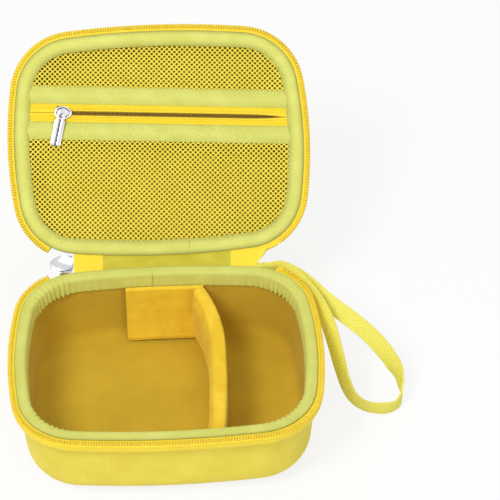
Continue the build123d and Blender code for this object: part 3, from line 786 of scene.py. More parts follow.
def repeated(shape, places):
    """One mesh that holds a small shape at every place."""
    pattern = bpy.data.meshes.new("pattern")
    shape.to_mesh(pattern)
    shape.free()
    mesh = bmesh.new()
    for place in places:
        mesh.from_mesh(pattern)
        mesh.verts.ensure_lookup_table()
        bmesh.ops.transform(mesh, matrix=place, verts=mesh.verts[-len(pattern.vertices) :])
    bpy.data.meshes.remove(pattern)
    return mesh


def rim_place(station, out, depth, way, tilt=0.0):
    """Where a small shape goes beside a station: its x runs along the rim and its y points out."""
    turn = radians(station[3])
    outward = Vector((cos(turn), sin(turn), 0))
    axes = Matrix((Vector((-sin(turn), cos(turn), 0)), outward, Vector((0, 0, 1)))).transposed().to_4x4()
    return Matrix.Translation(rim_point(station, out, depth, way)) @ axes @ Matrix.Rotation(tilt, 4, "X")


def every(first, last, pitch, shift=0.0):
    """Stations one pitch apart between two directions."""
    close, spots, wanted = walk(first, last, 0.4), [], shift
    for station in close:
        if station[4] >= wanted:
            spots.append(station)
            wanted += pitch
    return spots


for way, side, shift in ((-1, "base", 0.0), (1, "lid", 0.8)):
    spots = every(121, 418.0, 1.6, shift)
    mesh = repeated(bar(0.95, 2.5, 1.5, 0.3), [rim_place(s, 2.8, 0.55, way) for s in spots])
    if way == 1:
        opened(mesh)
    add_piece(mesh, side + "_coil", [coil], side, [side + "_zip_teeth"], crease=60)

# %% Stitches along the tapes and the lid's binding
for way, side in ((-1, "base"), (1, "lid")):
    spots = every(121, 421, 3.4)
    rows = [rim_place(s, 0.66, 9.9, way, tilt=way * 0.6) for s in spots]
    mesh = repeated(bar(2.3, 0.45, 0.4, 0.15), rows)
    if way == 1:
        opened(mesh)
    add_piece(mesh, side + "_tape_stitches", [sewing_thread], side, crease=60)
spots = every(90.2, 449.8, 3.4)
places = [rim_place(s, -8.35, 0.62, 1) for s in spots]
mesh = opened(repeated(bar(1.6, 0.42, 0.3, 0.12), places))
add_piece(mesh, "lid_binding_stitches", [sewing_thread], "lid", crease=60)
spots = every(90.2, 449.8, 3.4)
places = [rim_place(s, inner_leg(8.7), 8.7, -1) for s in spots]
mesh = repeated(bar(1.3, 0.42, 0.42, 0.12), places)
add_piece(mesh, "base_binding_stitches", [sewing_thread], "base", crease=60)

# %% [markdown]
# ## The soft hinge
#
# One strip of shell cloth joins the halves along the back, and the zip tapes' tails are sewn over its
# two ends. It lies between the halves, so it isn't given to either body; it is shaped for the open lid,
# from the base's wall over a crown to the swung lid's wall across the hinge line.

# %% The hinge strip
half_opening = radians(lid_opening / 2)


def back_wall(x, depth, offset):
    return front_centre + sqrt((front_radius - depth * lean + offset) ** 2 - x**2)


def swung(y, z):
    """A point of the closed lid's section after the lid has swung open, in millimetres."""
    place = open_lid @ (Vector((0, y, z)) * mm)
    return Vector((place.y, place.z)) / mm


def strip_side(x, lid_x, offset, rise):
    """One face of the strip, from its base end over the crown to its lid end, as points of x, y and z."""
    start = Vector((back_wall(x, 10.5, offset), base_height - 10.5))
    bend = Vector((back_wall(x, 1.6, offset), base_height - 1.6))
    end = swung(back_wall(lid_x, 10.5, offset), base_height + 10.5)
    after = swung(back_wall(lid_x, 1.6, offset), base_height + 1.6)
    crown = Vector((73.9 - rise * cos(half_opening), 59.2 + rise * sin(half_opening)))
    pull = crown * 2 - (bend + after) / 2
    points = [start, start.lerp(bend, 0.35), start.lerp(bend, 0.7)]
    for step in range(9):
        share = step / 8
        points.append(bend * (1 - share) ** 2 + pull * 2 * share * (1 - share) + after * share**2)
    points += [after.lerp(end, 0.3), after.lerp(end, 0.65), end]
    shares = [max(0.0, min(1.0, (number - 3) / 8)) for number in range(len(points))]
    return [Vector((x + (lid_x - x) * share, *point)) for point, share in zip(points, shares)]


rows, along_strip = [], []
for step in range(57):
    x = -55.3 + 110.6 * step / 56
    lid_x = x + 11.0 * (max(0.0, x - 38.0) / 17.3) ** 2
    sag = 1.7 * max(0.0, cos(x / 55.3 * pi / 2)) ** 0.5 + 0.25 * sin(x / 7.0)
    inner, outer = strip_side(x, lid_x, -0.3, 1.2 - sag), strip_side(x, lid_x, 0.9, 0.2 - sag)
    rows.append([point * mm for point in inner + outer[::-1] + inner[:1]])
    along_strip.append(x)
laid_flat = sum((b - a).length for a, b in zip(rows[28][:14], rows[28][1:15]))
print("strip's height laid flat:", round(laid_flat * 1000, 1), "mm")
mesh = close_ends(skin(rows, along_strip))
for face in mesh.faces:
    if not -38 * mm < face.calc_center_median().x < 42 * mm:
        face.material_index = 1
hinge_strip = add_piece(mesh, "soft_hinge", [hinge_cloth_in_painted_shade, zip_tape], None, ["hinge_strip"])
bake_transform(hinge_strip)

# %% [markdown]
# ## The net pocket
#
# The pocket lies across the lid on a line that slants by 3 degrees. Its pieces are made flat, in the
# pocket's own directions: x along the slot, y towards the free edge, z towards the viewer. One matrix
# then carries them into the lid. Their ends follow the bowed outline, which a short search finds.

# %% The pocket's directions
slant = radians(3.0)
pocket_in_lid = Matrix(
    (
        (cos(slant), sin(slant), 0, 0),
        (sin(slant), -cos(slant), 0, -17.5 * mm),
        (0, 0, -1, base_height * mm),
        (0, 0, 0, 1),
    )
)


def into_lid(mesh):
    bmesh.ops.transform(mesh, matrix=open_lid @ pocket_in_lid, verts=mesh.verts)
    return mesh


def reach_across(y, side, offset):
    """How far the lid's outline lets a line of the pocket run to one side, in millimetres."""
    near_end, far_end = 0.0, 120.0
    for _ in range(18):
        middle = (near_end + far_end) / 2
        spot = pocket_in_lid @ (Vector((side * middle, y, 0)) * mm)
        if inside_outline(spot.x / mm, spot.y / mm, offset):
            near_end = middle
        else:
            far_end = middle
    return side * near_end


def pocket_strip(section, first=0.0, last=1.0, count=60, shape=None):
    """A section of y and z, carried across the lid between its two sides."""
    rows, along = [], []
    for step in range(count + 1):
        share = first + (last - first) * step / count
        row = []
        for y, z in section:
            left, right_end = reach_across(y, -1, -4.0), reach_across(y, 1, -4.0)
            x = left + (right_end - left) * share
            if shape:
                y, z = shape(x, y, z)
            row.append(Vector((x, y, z)) * mm)
        rows.append(row)
        along.append(165.0 * share)
    return into_lid(close_ends(skin(rows, along)))


print("pocket reaches", round(reach_across(0, -1, -4), 1), "to", round(reach_across(0, 1, -4), 1))

# %% [markdown]
# The net is a lattice of staggered holes, about 3 mm apart. A grid turned by 45 degrees and squeezed
# gives the lattice, each cell is inset by half a yarn and its corners cut, and the middles are taken
# out. Solidify then gives the yarn its thickness. The net sags a little between its sewn edges.

# %% The nets
hole_pitch, row_pitch, yarn = 3.15, 1.55, 0.47


def net(low, high, name, node_name, sag):
    mesh = bmesh.new()
    cells = 84
    bmesh.ops.create_grid(mesh, x_segments=cells, y_segments=cells, size=cells / 2)
    bmesh.ops.rotate(mesh, matrix=Matrix.Rotation(pi / 4, 3, "Z"), verts=mesh.verts)
    bmesh.ops.scale(mesh, vec=(hole_pitch / sqrt(2), row_pitch * 2 / sqrt(2), 1), verts=mesh.verts)
    bmesh.ops.translate(mesh, vec=(0, (low + high) / 2, 0), verts=mesh.verts)

    def unwanted(face):
        middle = face.calc_center_median()
        spot = pocket_in_lid @ (middle * mm)
        covered = inside_outline(spot.x / mm, spot.y / mm, -5.2)
        return not (covered and low < middle.y < high)

    gone = [face for face in mesh.faces if unwanted(face)]
    bmesh.ops.delete(mesh, geom=gone, context="FACES")
    cut = sum(face.calc_area() for face in mesh.faces) * mm * mm
    bmesh.ops.inset_individual(mesh, faces=mesh.faces, thickness=yarn)
    middles = [face for face in mesh.faces if all(edge.link_faces[0] != edge.link_faces[-1] for edge in face.edges)]
    middles = [face for face in middles if face.calc_area() > 0.8]
    corners = list({vertex for face in middles for vertex in face.verts})
    bmesh.ops.bevel(mesh, geom=corners, offset=0.34, segments=1, profile=0.5, affect="VERTICES", material=-1)
    holes = [face for face in mesh.faces if len(face.verts) == 8]
    bmesh.ops.delete(mesh, geom=holes, context="FACES")
    bmesh.ops.scale(mesh, vec=(mm, mm, mm), verts=mesh.verts)
    for vertex in mesh.verts:
        x, y = vertex.co.x / 80 / mm, (vertex.co.y / mm - (low + high) / 2) / ((high - low) / 2)
        vertex.co.z = (-1.8 - sag * max(0, 1 - x * x) * max(0, 1 - y * y)) * mm
    bmesh.ops.recalc_face_normals(mesh, faces=mesh.faces)
    bmesh.ops.solidify(mesh, geom=mesh.faces, thickness=0.45 * mm)
    piece = add_piece(into_lid(mesh), name, [net_yarn], "lid", [node_name], crease=50)


net(16.0, 54.0, "upper_net", "pocket_upper_net", 1.2)
net(-92.0, -16.0, "lower_net", "pocket_lower_net", 1.6)

# %% [markdown]
# Between the nets run two bands of binding tape and the two halves of a zip. Each band is sewn along
# both edges, so it swells between them. The tapes have two ridges where the coil's core lies under the
# weave, and they close left of the slider.

# %% Bands and tapes of the pocket
def band_section(low, high):
    middle = (low + high) / 2
    return rounded(
        [
            (low, -2.0, 0),
            (low, -1.25, 0.4),
            (low + 1.2, -1.05, 0.8),
            (middle, -0.62, 3.0),
            (high - 1.2, -1.05, 0.8),
            (high, -1.25, 0.4),
            (high, -2.0, 0.1),
            (low, -2.0, 0),
        ],
        steps=4,
    )


def closing(x, y, z):
    """Brings the tapes' inner edges together left of the slider and, slowly, at the right end."""
    share = max(0.0, min(1.0, (-57.0 - x) / 5.0), min(1.0, (x - 56.0) / 22.0) ** 2 if x > 56 else 0.0)
    side = 1 if y > 0 else -1
    inner = max(0.0, 1 - (abs(y) - 1.25) / 1.6)
    return y - side * 1.15 * share * min(1.0, inner), z


def pocket_tape_section(side):
    return [
        (side * y, z)
        for y, z in rounded(
            [
                (1.25, -2.0, 0),
                (1.25, -1.3, 0.3),
                (1.9, -0.8, 0.5),
                (2.6, -1.85, 0.25),
                (3.5, -0.75, 0.7),
                (4.4, -1.85, 0.25),
                (5.1, -1.0, 0.4),
                (5.7, -1.5, 0.2),
                (5.7, -2.0, 0.1),
                (1.25, -2.0, 0),
            ],
            steps=3,
        )
    ]


for side, word in ((1, "upper"), (-1, "lower")):
    low, high = sorted((side * 5.6, side * 16.8))
    mesh = pocket_strip(band_section(low, high))
    band = add_piece(mesh, word + "_band", [band_cloth], "lid", ["pocket_" + word + "_band"])
    mesh = pocket_strip(pocket_tape_section(side), count=110, shape=closing)
    add_piece(mesh, word + "_tape", [zip_tape], "lid", ["pocket_" + word + "_tape"])

# %% Teeth of the pocket's zip and stitches of its bands
for side, word, shift in ((1, "upper", 0.0), (-1, "lower", 0.8)):
    places = []
    for step in range(int(130 / 1.6)):
        x = -54.0 + step * 1.6 + shift
        if x < reach_across(0, 1, -6.0):
            places.append(Matrix.Translation(Vector((x, side * 0.78, -1.7)) * mm))
    # The teeth take the coil finish that is drawn brown as painted shade.
    mesh = into_lid(repeated(bar(0.95, 1.35, 0.6, 0.18), places))
    add_piece(mesh, word + "_coil", [painted_shade_coil], "lid", ["pocket_" + word + "_teeth"], crease=60)

places = []
for y in (-16.0, -6.4, 6.4, 16.0):
    left, right_end = reach_across(y, -1, -10.0), reach_across(y, 1, -10.0)
    for step in range(int((right_end - left) / 3.2)):
        places.append(Matrix.Translation(Vector((left + 3.2 * step, y, -1.12)) * mm))
mesh = into_lid(repeated(bar(2.1, 0.42, 0.3, 0.12), places))
add_piece(mesh, "band_stitches", [sewing_thread], "lid", crease=60)

# %% [markdown]
# ## Sliders and pulls
#
# A slider is two plates joined by a wedge at its nose, with turned-in flanges that hold the coils and an
# arched bail on top. The plates start as a circle that is stretched and narrowed towards the nose.
# The pull is cut from a small grid of faces: an eye for the bail, and a blade with a groove pressed in.

# %% A slider
def slider(length, width, channel, plate, shoulder, post):
    """A slider in millimetres: x runs from its tail to its nose, z up through the bail."""
    mesh = bmesh.new()
    for level in (channel / 2, -channel / 2 - plate):
        made = bmesh.ops.create_circle(mesh, cap_ends=True, segments=28, radius=1.0)
        for vertex in made["verts"]:
            along = vertex.co.x
            full = abs(vertex.co.y) ** 0.7 * (1 if vertex.co.y > 0 else -1)
            narrow = 1 - 0.42 * max(0.0, along) ** 1.5
            vertex.co = Vector((length / 2 * (1 + along), width / 2 * full * narrow, level))
        face = next(iter({f for v in made["verts"] for f in v.link_faces}))
        raised = bmesh.ops.extrude_face_region(mesh, geom=[face])["geom"]
        tops = [item for item in raised if isinstance(item, bmesh.types.BMVert)]
        bmesh.ops.translate(mesh, vec=(0, 0, plate), verts=tops)
        rims = [e for v in made["verts"] + tops for e in v.link_edges if abs(e.verts[0].co.z - e.verts[1].co.z) < 1e-6]
        bmesh.ops.bevel(
            mesh,
            geom=list(set(rims)),
            offset=plate * 0.35,
            segments=2,
            profile=0.5,
            affect="EDGES",
            material=-1,
        )
    # The plates' upright sides take the dark finish in slot 1, as painted shade and painted reflection.
    for face in mesh.faces:
        face.material_index = 1 if abs(face.normal.z) < 0.3 else 0
    lids = [face for face in mesh.faces if len(face.verts) > 20 and face.calc_center_median().z > channel / 2]
    # The middle inset sinks a ring round the top plate, whose faces take the dark finish as painted shade.
    for thickness, depth, slot in ((0.5, 0.0, 0), (0.6, -0.12, 1), (0.2, 0.22, 0)):
        made = bmesh.ops.inset_region(mesh, faces=lids, thickness=thickness, depth=depth)["faces"]
        for face in made:
            face.material_index = slot
    for side in (-1, 1):
        box = bmesh.ops.create_cube(mesh, size=1.0)["verts"]
        bmesh.ops.scale(mesh, vec=(shoulder * 0.8, plate * 0.7, channel + plate * 0.6), verts=box)
        bmesh.ops.translate(mesh, vec=(shoulder * 0.52, side * (width / 2 - plate * 0.55), 0), verts=box)
        for vertex in box:
            vertex.co.z *= 0.62 if side * vertex.co.y < width / 2 - plate * 0.5 else 1.0
    box = bmesh.ops.create_cone(
        mesh, cap_ends=True, segments=12, radius1=post / 2, radius2=post / 2, depth=channel + plate
    )["verts"]
    bmesh.ops.scale(mesh, vec=(1.7, 1, 1), verts=box)
    bmesh.ops.translate(mesh, vec=(shoulder + (length - shoulder) * 0.5, 0, 0), verts=box)
    return mesh


def bail(mesh, at, top, span, height, thick, width):
    """Adds the arch over the slider's plate that the pull hangs from."""
    arch = []
    for step in range(13):
        turn = pi * step / 12
        arch.append((cos(turn), sin(turn)))
    before = None
    for across, rise in arch:
        ring = bmesh.ops.create_circle(mesh, segments=8, radius=0.5)["verts"]
        reach, lift = span / 2 + thick / 2, height + thick / 2
        place = Vector((at, across * reach, top + rise * lift))
        tangent = Vector((0, -rise * reach, across * lift)).normalized()
        side = tangent.cross(Vector((1, 0, 0)))
        for vertex in ring:
            x, y = vertex.co.x * width, vertex.co.y * thick * 1.25
            vertex.co = place + Vector((1, 0, 0)) * x + side * y
        edges = list({e for v in ring for e in v.link_edges})
        if before:
            bmesh.ops.bridge_loops(mesh, edges=before + edges)
        before = edges
    return mesh


def to_place(mesh, origin, x_axis, z_axis):
    """Carries a shape made in millimetres to its plane in the scene."""
    axes = Matrix((x_axis, z_axis.cross(x_axis), z_axis)).transposed().to_4x4()
    bmesh.ops.transform(mesh, matrix=Matrix.Translation(origin) @ axes @ Matrix.Scale(mm, 4), verts=mesh.verts)
    return mesh


# %% [markdown]
# The main slider is parked at the left end of its zip, upright on the line between the two halves. Its
# nose points left and its bail faces the back, so the pull hangs behind the case.

# %% The main slider
slider_up = Vector((0, -cos(half_opening), sin(half_opening)))
slider_at = Vector((-55.7, 73.9, 59.2)) * mm + slider_up * 0.5 * mm
mesh = slider(14.5, 10.6, 2.6, 1.0, 6.0, 2.6)
bail(mesh, 5.2, 2.2, 3.0, 2.0, 0.8, 1.6)
to_place(mesh, slider_at, Vector((-1, 0, 0)), -slider_up)
add_piece(mesh, "main_slider", [chrome, painted_shade_chrome], "zip_slider", ["zip_slider"], crease=40)

# %% The pocket's slider
slot_x = (open_lid @ pocket_in_lid).to_3x3() @ Vector((1, 0, 0))
slot_z = (open_lid @ pocket_in_lid).to_3x3() @ Vector((0, 0, 1))
slot_y = slot_z.cross(slot_x)
pocket_slider_at = open_lid @ pocket_in_lid @ (Vector((-58.8 - 5.3, 0, -1.45)) * mm)
mesh = slider(10.6, 8.4, 2.0, 0.7, 4.5, 1.7)
bail(mesh, 3.7, 1.6, 3.0, 2.0, 0.8, 1.6)
to_place(mesh, pocket_slider_at, slot_x, slot_z)
add_piece(mesh, "pocket_zip_slider", [chrome, painted_shade_chrome], "pocket_slider", ["pocket_slider"], crease=40)

# %% Pulls
def pull():
    """A pull in millimetres: an eye round the origin and a blade whose tip is at y = 21."""
    mesh = bmesh.new()
    bmesh.ops.create_grid(mesh, x_segments=5, y_segments=6, size=1.0)
    heights = [-0.5, 0.5, 3.3, 4.3, 5.4, 19.6, 21.0]
    for vertex in mesh.verts:
        column = round((vertex.co.x + 1) * 2.5)
        row = round((vertex.co.y + 1) * 3)
        outer = 2.3 if row < 4 else 3.1
        x = (-outer, -1.4, -0.75, 0.75, 1.4, outer)[column]
        vertex.co = Vector((x, heights[row], 0))
    gone = [f for f in mesh.faces if 0.5 < f.calc_center_median().y < 3.3 and abs(f.calc_center_median().x) < 1.4]
    bmesh.ops.delete(mesh, geom=gone, context="FACES")
    tips = [v for v in mesh.verts if v.co.y > 20.9 and abs(v.co.x) > 3.0]
    eyes = [v for v in mesh.verts if v.co.y < -0.4 and abs(v.co.x) > 2.0]
    bmesh.ops.bevel(mesh, geom=tips + eyes, offset=0.9, segments=3, profile=0.5, affect="VERTICES", material=-1)
    bmesh.ops.recalc_face_normals(mesh, faces=mesh.faces)
    raised = bmesh.ops.extrude_face_region(mesh, geom=mesh.faces[:])["geom"]
    tops = [item for item in raised if isinstance(item, bmesh.types.BMVert)]
    bmesh.ops.translate(mesh, vec=(0, 0, 1.0), verts=tops)
    bmesh.ops.translate(mesh, vec=(0, 0, -0.5), verts=mesh.verts)
    bmesh.ops.recalc_face_normals(mesh, faces=mesh.faces)
    grooves = [
        f
        for f in mesh.faces
        if f.calc_center_median().z > 0.49 and abs(f.calc_center_median().x) < 0.5 and f.calc_center_median().y > 4.4
    ]
    made = bmesh.ops.extrude_face_region(mesh, geom=grooves)["geom"]
    bmesh.ops.delete(mesh, geom=grooves, context="FACES")
    sunk = [item for item in made if isinstance(item, bmesh.types.BMVert)]
    bmesh.ops.translate(mesh, vec=(0, 0, -0.38), verts=sunk)
    bottom = set(sunk)
    bmesh.ops.remove_doubles(mesh, verts=mesh.verts, dist=1e-4)
    sharp = [
        e
        for e in mesh.edges
        if len(e.link_faces) == 2 and e.calc_face_angle() > 0.9 and not any(v in bottom for v in e.verts)
    ]
    bmesh.ops.bevel(
        mesh, geom=sharp, offset=0.16, segments=2, profile=0.5, affect="EDGES", material=-1, clamp_overlap=True
    )
    # The groove's faces take the dark finish in slot 1, as painted shade in the groove.
    for face in mesh.faces:
        if any(v in bottom for v in face.verts):
            face.material_index = 1
    return mesh


pull_at = slider_at + Vector((-6.0, 0, 0)) * mm - slider_up * (1.3 + 1.0 + 1.05) * mm
mesh = to_place(pull(), pull_at, Vector((1, 0, 0)), Vector((0, 1, 0)))
print("pull hangs from", [round(v, 4) for v in pull_at])
add_piece(mesh, "main_pull", [chrome, painted_shade_chrome], "zip_pull", ["zip_pull"], crease=30)

# %% [markdown]
# The pocket's pull hangs down the net, swung 11 degrees to the left and tipped until its end rests on
# the cloth.

# %% The pocket's pull
pull_turn, pull_tip = radians(-11.0), radians(3.47)
pocket_pull_at = pocket_slider_at + slot_x * 4.5 * mm + slot_z * (1.0 + 0.7 + 1.05) * mm
pull_x = slot_x * cos(pull_turn) + slot_y * sin(pull_turn)
pull_y = -(slot_z.cross(pull_x)) * cos(pull_tip) - slot_z * sin(pull_tip)
mesh = to_place(pull(), pocket_pull_at, -pull_x, (-pull_x).cross(pull_y))
add_piece(mesh, "pocket_zip_pull", [chrome, painted_shade_chrome], "pocket_pull", ["pocket_pull"], crease=30)

# %% [markdown]
# ## The divider
#
# The divider is a slab of foam in fleece that curves across the base, with a thin flap that turns along
# the back wall. It is skinned along its curve past both walls and then cut back to the space inside the
# base, as the real pad is cut. Then the fleece is simulated as a cloth bag under a little pressure from
# the foam, which rounds the edges and swells the sides as sewing does. We start a millimetre slimmer
# than the real pad, and no point may move further than the foam would let it.

# %% The divider's line
def arc_through(first, middle, last, count):
    """Points on the circle through three places."""
    a, b, c = Vector(first), Vector(middle), Vector(last)
    d = 2 * (a.x * (b.y - c.y) + b.x * (c.y - a.y) + c.x * (a.y - b.y))
    x = (a.length_squared * (b.y - c.y) + b.length_squared * (c.y - a.y) + c.length_squared * (a.y - b.y)) / d
    y = (a.length_squared * (c.x - b.x) + b.length_squared * (a.x - c.x) + c.length_squared * (b.x - a.x)) / d
    centre = Vector((x, y))
    start, end = (a - centre), (c - centre)
    turn = start.angle_signed(end)
    return [centre + Matrix.Rotation(-turn * step / count, 2) @ start for step in range(count + 1)]


front_run = arc_through((27.2, -66.0), (30.0, -27.0), (30.6, 10.0), 18)
heading = (front_run[-1] - front_run[-2]).normalized()
join, end = front_run[-1], Vector((19.5, 57.0))
normal = Vector((heading.y, -heading.x))
chord = end - join
radius = chord.length_squared / (2 * chord.dot(normal))
centre = join + normal * radius
sweep = 2 * atan2(chord.dot(normal), chord.dot(heading))
back_run = [centre + Matrix.Rotation(-sweep * step / 16, 2) @ (join - centre) for step in range(1, 17)]
divider_line = front_run + back_run
print("divider line ends at", [round(v, 1) for v in divider_line[-1]])

# %% The padded divider
top, foot = 54.0, 9.8
pad_section = rounded(
    [
        (0, foot + 0.6, 0),
        (-4.4, foot + 0.6, 1.5),
        (-4.5, 30, 0),
        (-4.4, top - 0.9, 3.2),
        (4.4, top - 0.9, 3.2),
        (4.5, 30, 0),
        (4.4, foot + 0.6, 1.5),
        (0, foot + 0.6, 0),
    ],
    steps=4,
)
rows, along, travelled = [], [], 0.0
for index, spot in enumerate(divider_line):
    before, after = divider_line[max(0, index - 1)], divider_line[min(len(divider_line) - 1, index + 1)]
    ahead = (after - before).normalized()
    beside = Vector((ahead.y, -ahead.x))
    travelled += (spot - divider_line[index - 1]).length if index else 0.0
    rows.append([Vector((spot.x + beside.x * out, spot.y + beside.y * out, z)) * mm for out, z in pad_section])
    along.append(travelled)
mesh = close_ends(skin(rows, along))
cuts = (
    ((0, -62.4 * mm, 54 * mm), (0, -1, -lean)),
    ((0, 61.6 * mm, 54 * mm), (0, 1, -lean)),
    ((0, -58.6 * mm, 16 * mm), (0, -1, -1)),
    ((0, 57.8 * mm, 16 * mm), (0, 1, -1)),
)
for place, direction in cuts:
    everything = mesh.verts[:] + mesh.edges[:] + mesh.faces[:]
    bmesh.ops.bisect_plane(mesh, geom=everything, plane_co=place, plane_no=direction, clear_outer=True)
    edges = [edge for edge in mesh.edges if edge.is_boundary]
    bmesh.ops.holes_fill(mesh, edges=edges, sides=0)
divider = add_piece(mesh, "padded_divider", [fleece], "divider", ["divider"], crease=180)

# %% The fleece as a cloth bag
def settled(piece):
    """The piece's mesh as its modifiers leave it."""
    graph = bpy.context.evaluated_depsgraph_get()
    return bpy.data.meshes.new_from_object(piece.evaluated_get(graph), depsgraph=graph)


def keep_shape(piece):
    data = settled(piece)
    piece.modifiers.clear()
    piece.data = data


remesh = divider.modifiers.new("even faces", "REMESH")
remesh.mode, remesh.voxel_size, remesh.use_smooth_shade = "VOXEL", 2.0 * mm, True
keep_shape(divider)
rest = [vertex.co.copy() for vertex in divider.data.vertices]
cloth = divider.modifiers.new("fleece", "CLOTH")
cloth.settings.quality = 6
cloth.settings.mass = 0.2
cloth.settings.tension_stiffness = cloth.settings.compression_stiffness = 12.0
cloth.settings.bending_stiffness = 0.4
cloth.settings.use_pressure = True
cloth.settings.uniform_pressure_force = 4.0
cloth.settings.effector_weights.gravity = 0.0
for frame_number in range(1, 21):
    bpy.context.scene.frame_set(frame_number)
swollen = settled(divider)
divider.modifiers.clear()
moves = [(vertex.co - start) / mm for vertex, start in zip(swollen.vertices, rest)]
print("fleece moved up to", round(max(move.length for move in moves), 1), "mm before the cap")
for vertex, start, move in zip(divider.data.vertices, rest, moves):
    vertex.co = start + move.normalized() * min(move.length, 1.0) * mm
bpy.context.scene.frame_set(1)
smooth = divider.modifiers.new("smooth fleece", "SUBSURF")
smooth.levels = smooth.render_levels = 1
keep_shape(divider)
print("divider:", len(divider.data.polygons), "faces")

# %% The divider's flap along the back wall
flap_rows, along = [], []
for step in range(16):
    x = -24.0 + 48.0 * step / 15
    row = []
    for out, z in rounded(
        [(0, foot + 1.5, 0), (0, 34, 0), (0, top - 3.4, 1.0), (-3.0, top - 3.4, 1.2), (-3.0, 34, 0), (-3.0, foot + 4.2, 0.8), (0, foot + 1.5, 0)],
        steps=3,
    ):
        depth = base_height - z
        wall_y = back_wall(x, depth, inner_leg(0) - 0.3 - 0.8)
        shrink = max(0.0, depth - 42.0)
        row.append(Vector((x, wall_y + out - shrink, z)) * mm)
    flap_rows.append(row)
    along.append(x)
mesh = close_ends(skin(flap_rows, along))
add_piece(mesh, "divider_flap", [fleece], "divider", crease=50)

# %% [markdown]
# ## The wrist strap
#
# The strap is one length of flat webbing, doubled and sewn under a tab at the right back corner. Its
# route is the solids' route, laid on a smooth curve. A ribbon is skinned along that curve. Webbing lies
# flat on its way and leans as it hangs, so each route point also has a lean: the angle from the
# direction that squarely faces a viewer in front and above. It is 90 degrees where the loop turns
# edge-on at its right end, and there we begin to see the ribbon's other face.

# %% The strap's route
strap_route = [
    (60.68, 67.58, 54.2), (65.2, 66.45, 54.2), (72.4, 68.9, 54.2), (81.0, 62.3, 54.2), (89.0, 51.5, 53.0),
    (94.2, 39.5, 52.5), (98.6, 27.3, 50.0), (103.0, 13.2, 39.0), (106.2, 0.8, 29.0), (111.0, -5.1, 16.5),
    (120.1, -6.7, 7.5), (133.0, -7.7, 5.9), (141.1, -4.4, 5.9), (144.1, 3.4, 8.0), (143.4, 12.6, 12.0),
    (137.8, 17.4, 23.5), (126.8, 24.8, 36.0), (113.1, 33.5, 44.5), (99.7, 44.0, 48.5), (85.4, 62.5, 51.5),
    (72.2, 70.9, 54.2), (65.53, 68.38, 54.2), (61.16, 69.47, 54.2),
]
strap_leans = [45, 40, 30, 32, 38, 40, 40, 46, 54, 57, 54, 50, 60, 82, 110, 150, 172, 178, 178, 170, 150, 138, 135]
curve = bpy.data.curves.new("strap route", "CURVE")
curve.dimensions = "3D"
curve.resolution_u = 8
spline = curve.splines.new("NURBS")
spline.points.add(len(strap_route) - 1)
for point, place in zip(spline.points, strap_route):
    point.co = (*(Vector(place) * mm), 1.0)
spline.order_u = 3
spline.use_endpoint_u = True
holder = bpy.data.objects.new("strap route", curve)
bpy.context.scene.collection.objects.link(holder)
bpy.context.view_layer.update()
line_mesh = bpy.data.meshes.new_from_object(holder)
strap_path = [vertex.co.copy() for vertex in line_mesh.vertices]
bpy.data.objects.remove(holder)
bpy.data.meshes.remove(line_mesh)
strap_length = sum((b - a).length for a, b in zip(strap_path, strap_path[1:]))
print("strap:", len(strap_path), "points,", round(strap_length * 1000, 1), "mm")

# %% The webbing
half_width, half_thick = 5.25, 0.7
web_section = rounded(
    [
        (-half_width, 0, 0),
        (-half_width, half_thick, 0.5),
        (0, half_thick, 0),
        (half_width, half_thick, 0.5),
        (half_width, -half_thick, 0.5),
        (0, -half_thick, 0),
        (-half_width, -half_thick, 0.5),
        (-half_width, 0, 0),
    ],
    steps=2,
)
rows, along, travelled = [], [], 0.0
towards_front = Vector((0, -0.71, 0.70))
for index, spot in enumerate(strap_path):
    before, after = strap_path[max(0, index - 1)], strap_path[min(len(strap_path) - 1, index + 1)]
    ahead = (after - before).normalized()
    square = towards_front.cross(ahead).normalized()
    place = index / (len(strap_path) - 1) * (len(strap_leans) - 1)
    low = min(int(place), len(strap_leans) - 2)
    share = place - low
    share = share * share * (3 - 2 * share)
    turn = radians(strap_leans[low] * (1 - share) + strap_leans[low + 1] * share)
    flat_side = square * cos(turn) + ahead.cross(square) * sin(turn)
    face_side = ahead.cross(flat_side)
    travelled += (spot - strap_path[index - 1]).length / mm if index else 0.0
    rows.append([spot + (flat_side * u + face_side * v) * mm for u, v in web_section])
    along.append(travelled)
strap = add_piece(
    close_ends(skin(rows, along)), "webbing_strap", [webbing], "base", ["wrist_strap"], crease=40
)

# %% The strap's tab
tab_way = walk(360 + 76, 360 + 83, 1.0)
tab_section = rounded(
    [(0.05, 1.0, 0), (4.2, 1.0, 1.2), (5.0, 2.0, 1.0), (5.0, 10.5, 1.0), (4.2, 11.5, 1.0), (0.05, 11.5, 0.2), (0.05, 1.0, 0)],
    steps=3,
)
mesh = close_ends(skin(rim_rows(tab_way, tab_section, -1), [s[4] for s in tab_way]))
add_piece(mesh, "folded_tab", [webbing], "base", ["strap_tab"])

# %% [markdown]
# ## Solids that keep their shape
#
# The hook strips hide behind the divider and the zip's stops are two tiny blocks of nylon, melted on to
# the end of each coil. Their solids are right as they are, so they only take a finish.

# %% Finishes for the remaining solids
for node_name, material in (
    ("divider_hook_strips", hook_tape),
    ("base_zip_stop", coil),
    ("lid_zip_stop", coil),
):
    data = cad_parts[node_name].data
    data.materials.clear()
    data.materials.append(material)
left = [name for name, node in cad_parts.items() if not node.hide_render]
print("solids still shown:", left)

# %% [markdown]
# ## Floor and light
#
# The photograph has a white ground and soft, nearly shadowless light. The floor is a pale board that
# the camera sees almost as white, while it keeps the case's shadow. Three broad lamps and a pale sky
# light the case at a level where a colour comes out about as it was written.

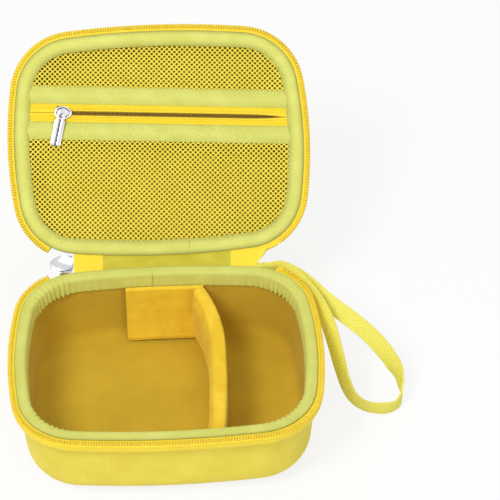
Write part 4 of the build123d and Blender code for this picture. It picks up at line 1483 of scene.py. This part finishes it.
# %% Floor
floor_finish = bpy.data.materials.new("matt painted board")
floor_finish.use_nodes = True
tree = floor_finish.node_tree
paint = tree.nodes["Principled BSDF"]
paint.inputs["Base Color"].default_value = linear("#f0f0ee")
paint.inputs["Roughness"].default_value = 0.9
seen = add_node(floor_finish, "LightPath")
glossy = add_node(floor_finish, "Math", {0: seen.outputs["Is Camera Ray"], 1: seen.outputs["Is Glossy Ray"]}, operation="MAXIMUM")
either = add_node(floor_finish, "Math", {0: glossy.outputs[0], 1: seen.outputs["Is Transmission Ray"]}, operation="MAXIMUM")
share = add_node(floor_finish, "Math", {0: either.outputs[0], 1: 0.82}, operation="MULTIPLY")
glow = add_node(floor_finish, "Emission", {"Color": (1, 1, 1, 1), "Strength": 1.0})
blend = add_node(floor_finish, "MixShader", {0: share.outputs[0], 1: paint.outputs[0], 2: glow.outputs[0]})
tree.links.new(blend.outputs[0], tree.nodes["Material Output"].inputs["Surface"])
mesh = bmesh.new()
bmesh.ops.create_grid(mesh, x_segments=1, y_segments=1, size=4.0)
data = bpy.data.meshes.new("floor")
mesh.to_mesh(data)
mesh.free()
data.materials.append(floor_finish)
floor = bpy.data.objects.new("floor", data)
bpy.context.scene.collection.objects.link(floor)

# %% Sky and lamps
world = bpy.data.worlds.new("pale sky")
bpy.context.scene.world = world
world.use_nodes = True
sky_tree = world.node_tree
sky = sky_tree.nodes["Background"]
sky.inputs["Color"].default_value = (1, 1, 1, 1)
sky_light = sky_tree.nodes.new("ShaderNodeLightPath")
seen_white = sky_tree.nodes.new("ShaderNodeMapRange")
seen_white.inputs["To Min"].default_value = 0.46
seen_white.inputs["To Max"].default_value = 1.0
either = sky_tree.nodes.new("ShaderNodeMath")
either.operation = "MAXIMUM"
sky_tree.links.new(sky_light.outputs["Is Camera Ray"], either.inputs[0])
sky_tree.links.new(sky_light.outputs["Is Glossy Ray"], either.inputs[1])
sky_tree.links.new(either.outputs[0], seen_white.inputs["Value"])
sky_tree.links.new(seen_white.outputs["Result"], sky.inputs["Strength"])


def lamp(name, place, aim, size, power):
    data = bpy.data.lights.new(name, "AREA")
    data.size, data.energy = size, power
    data.shape = "SQUARE"
    light = bpy.data.objects.new(name, data)
    towards = Vector(aim) - Vector(place)
    light.matrix_world = Matrix.Translation(place) @ towards.to_track_quat("-Z", "Y").to_matrix().to_4x4()
    bpy.context.scene.collection.objects.link(light)
    return light


lamp("key", (-0.7, -0.8, 1.6), (0, 0.05, 0.05), 0.6, 20.0)
lamp("fill", (0.8, -1.2, 0.9), (0, 0, 0.05), 0.9, 4.5)
lamp("top", (0.2, 0.5, 1.7), (0, 0.05, 0.05), 0.8, 4.0)
bpy.context.scene.view_settings.view_transform = "Standard"
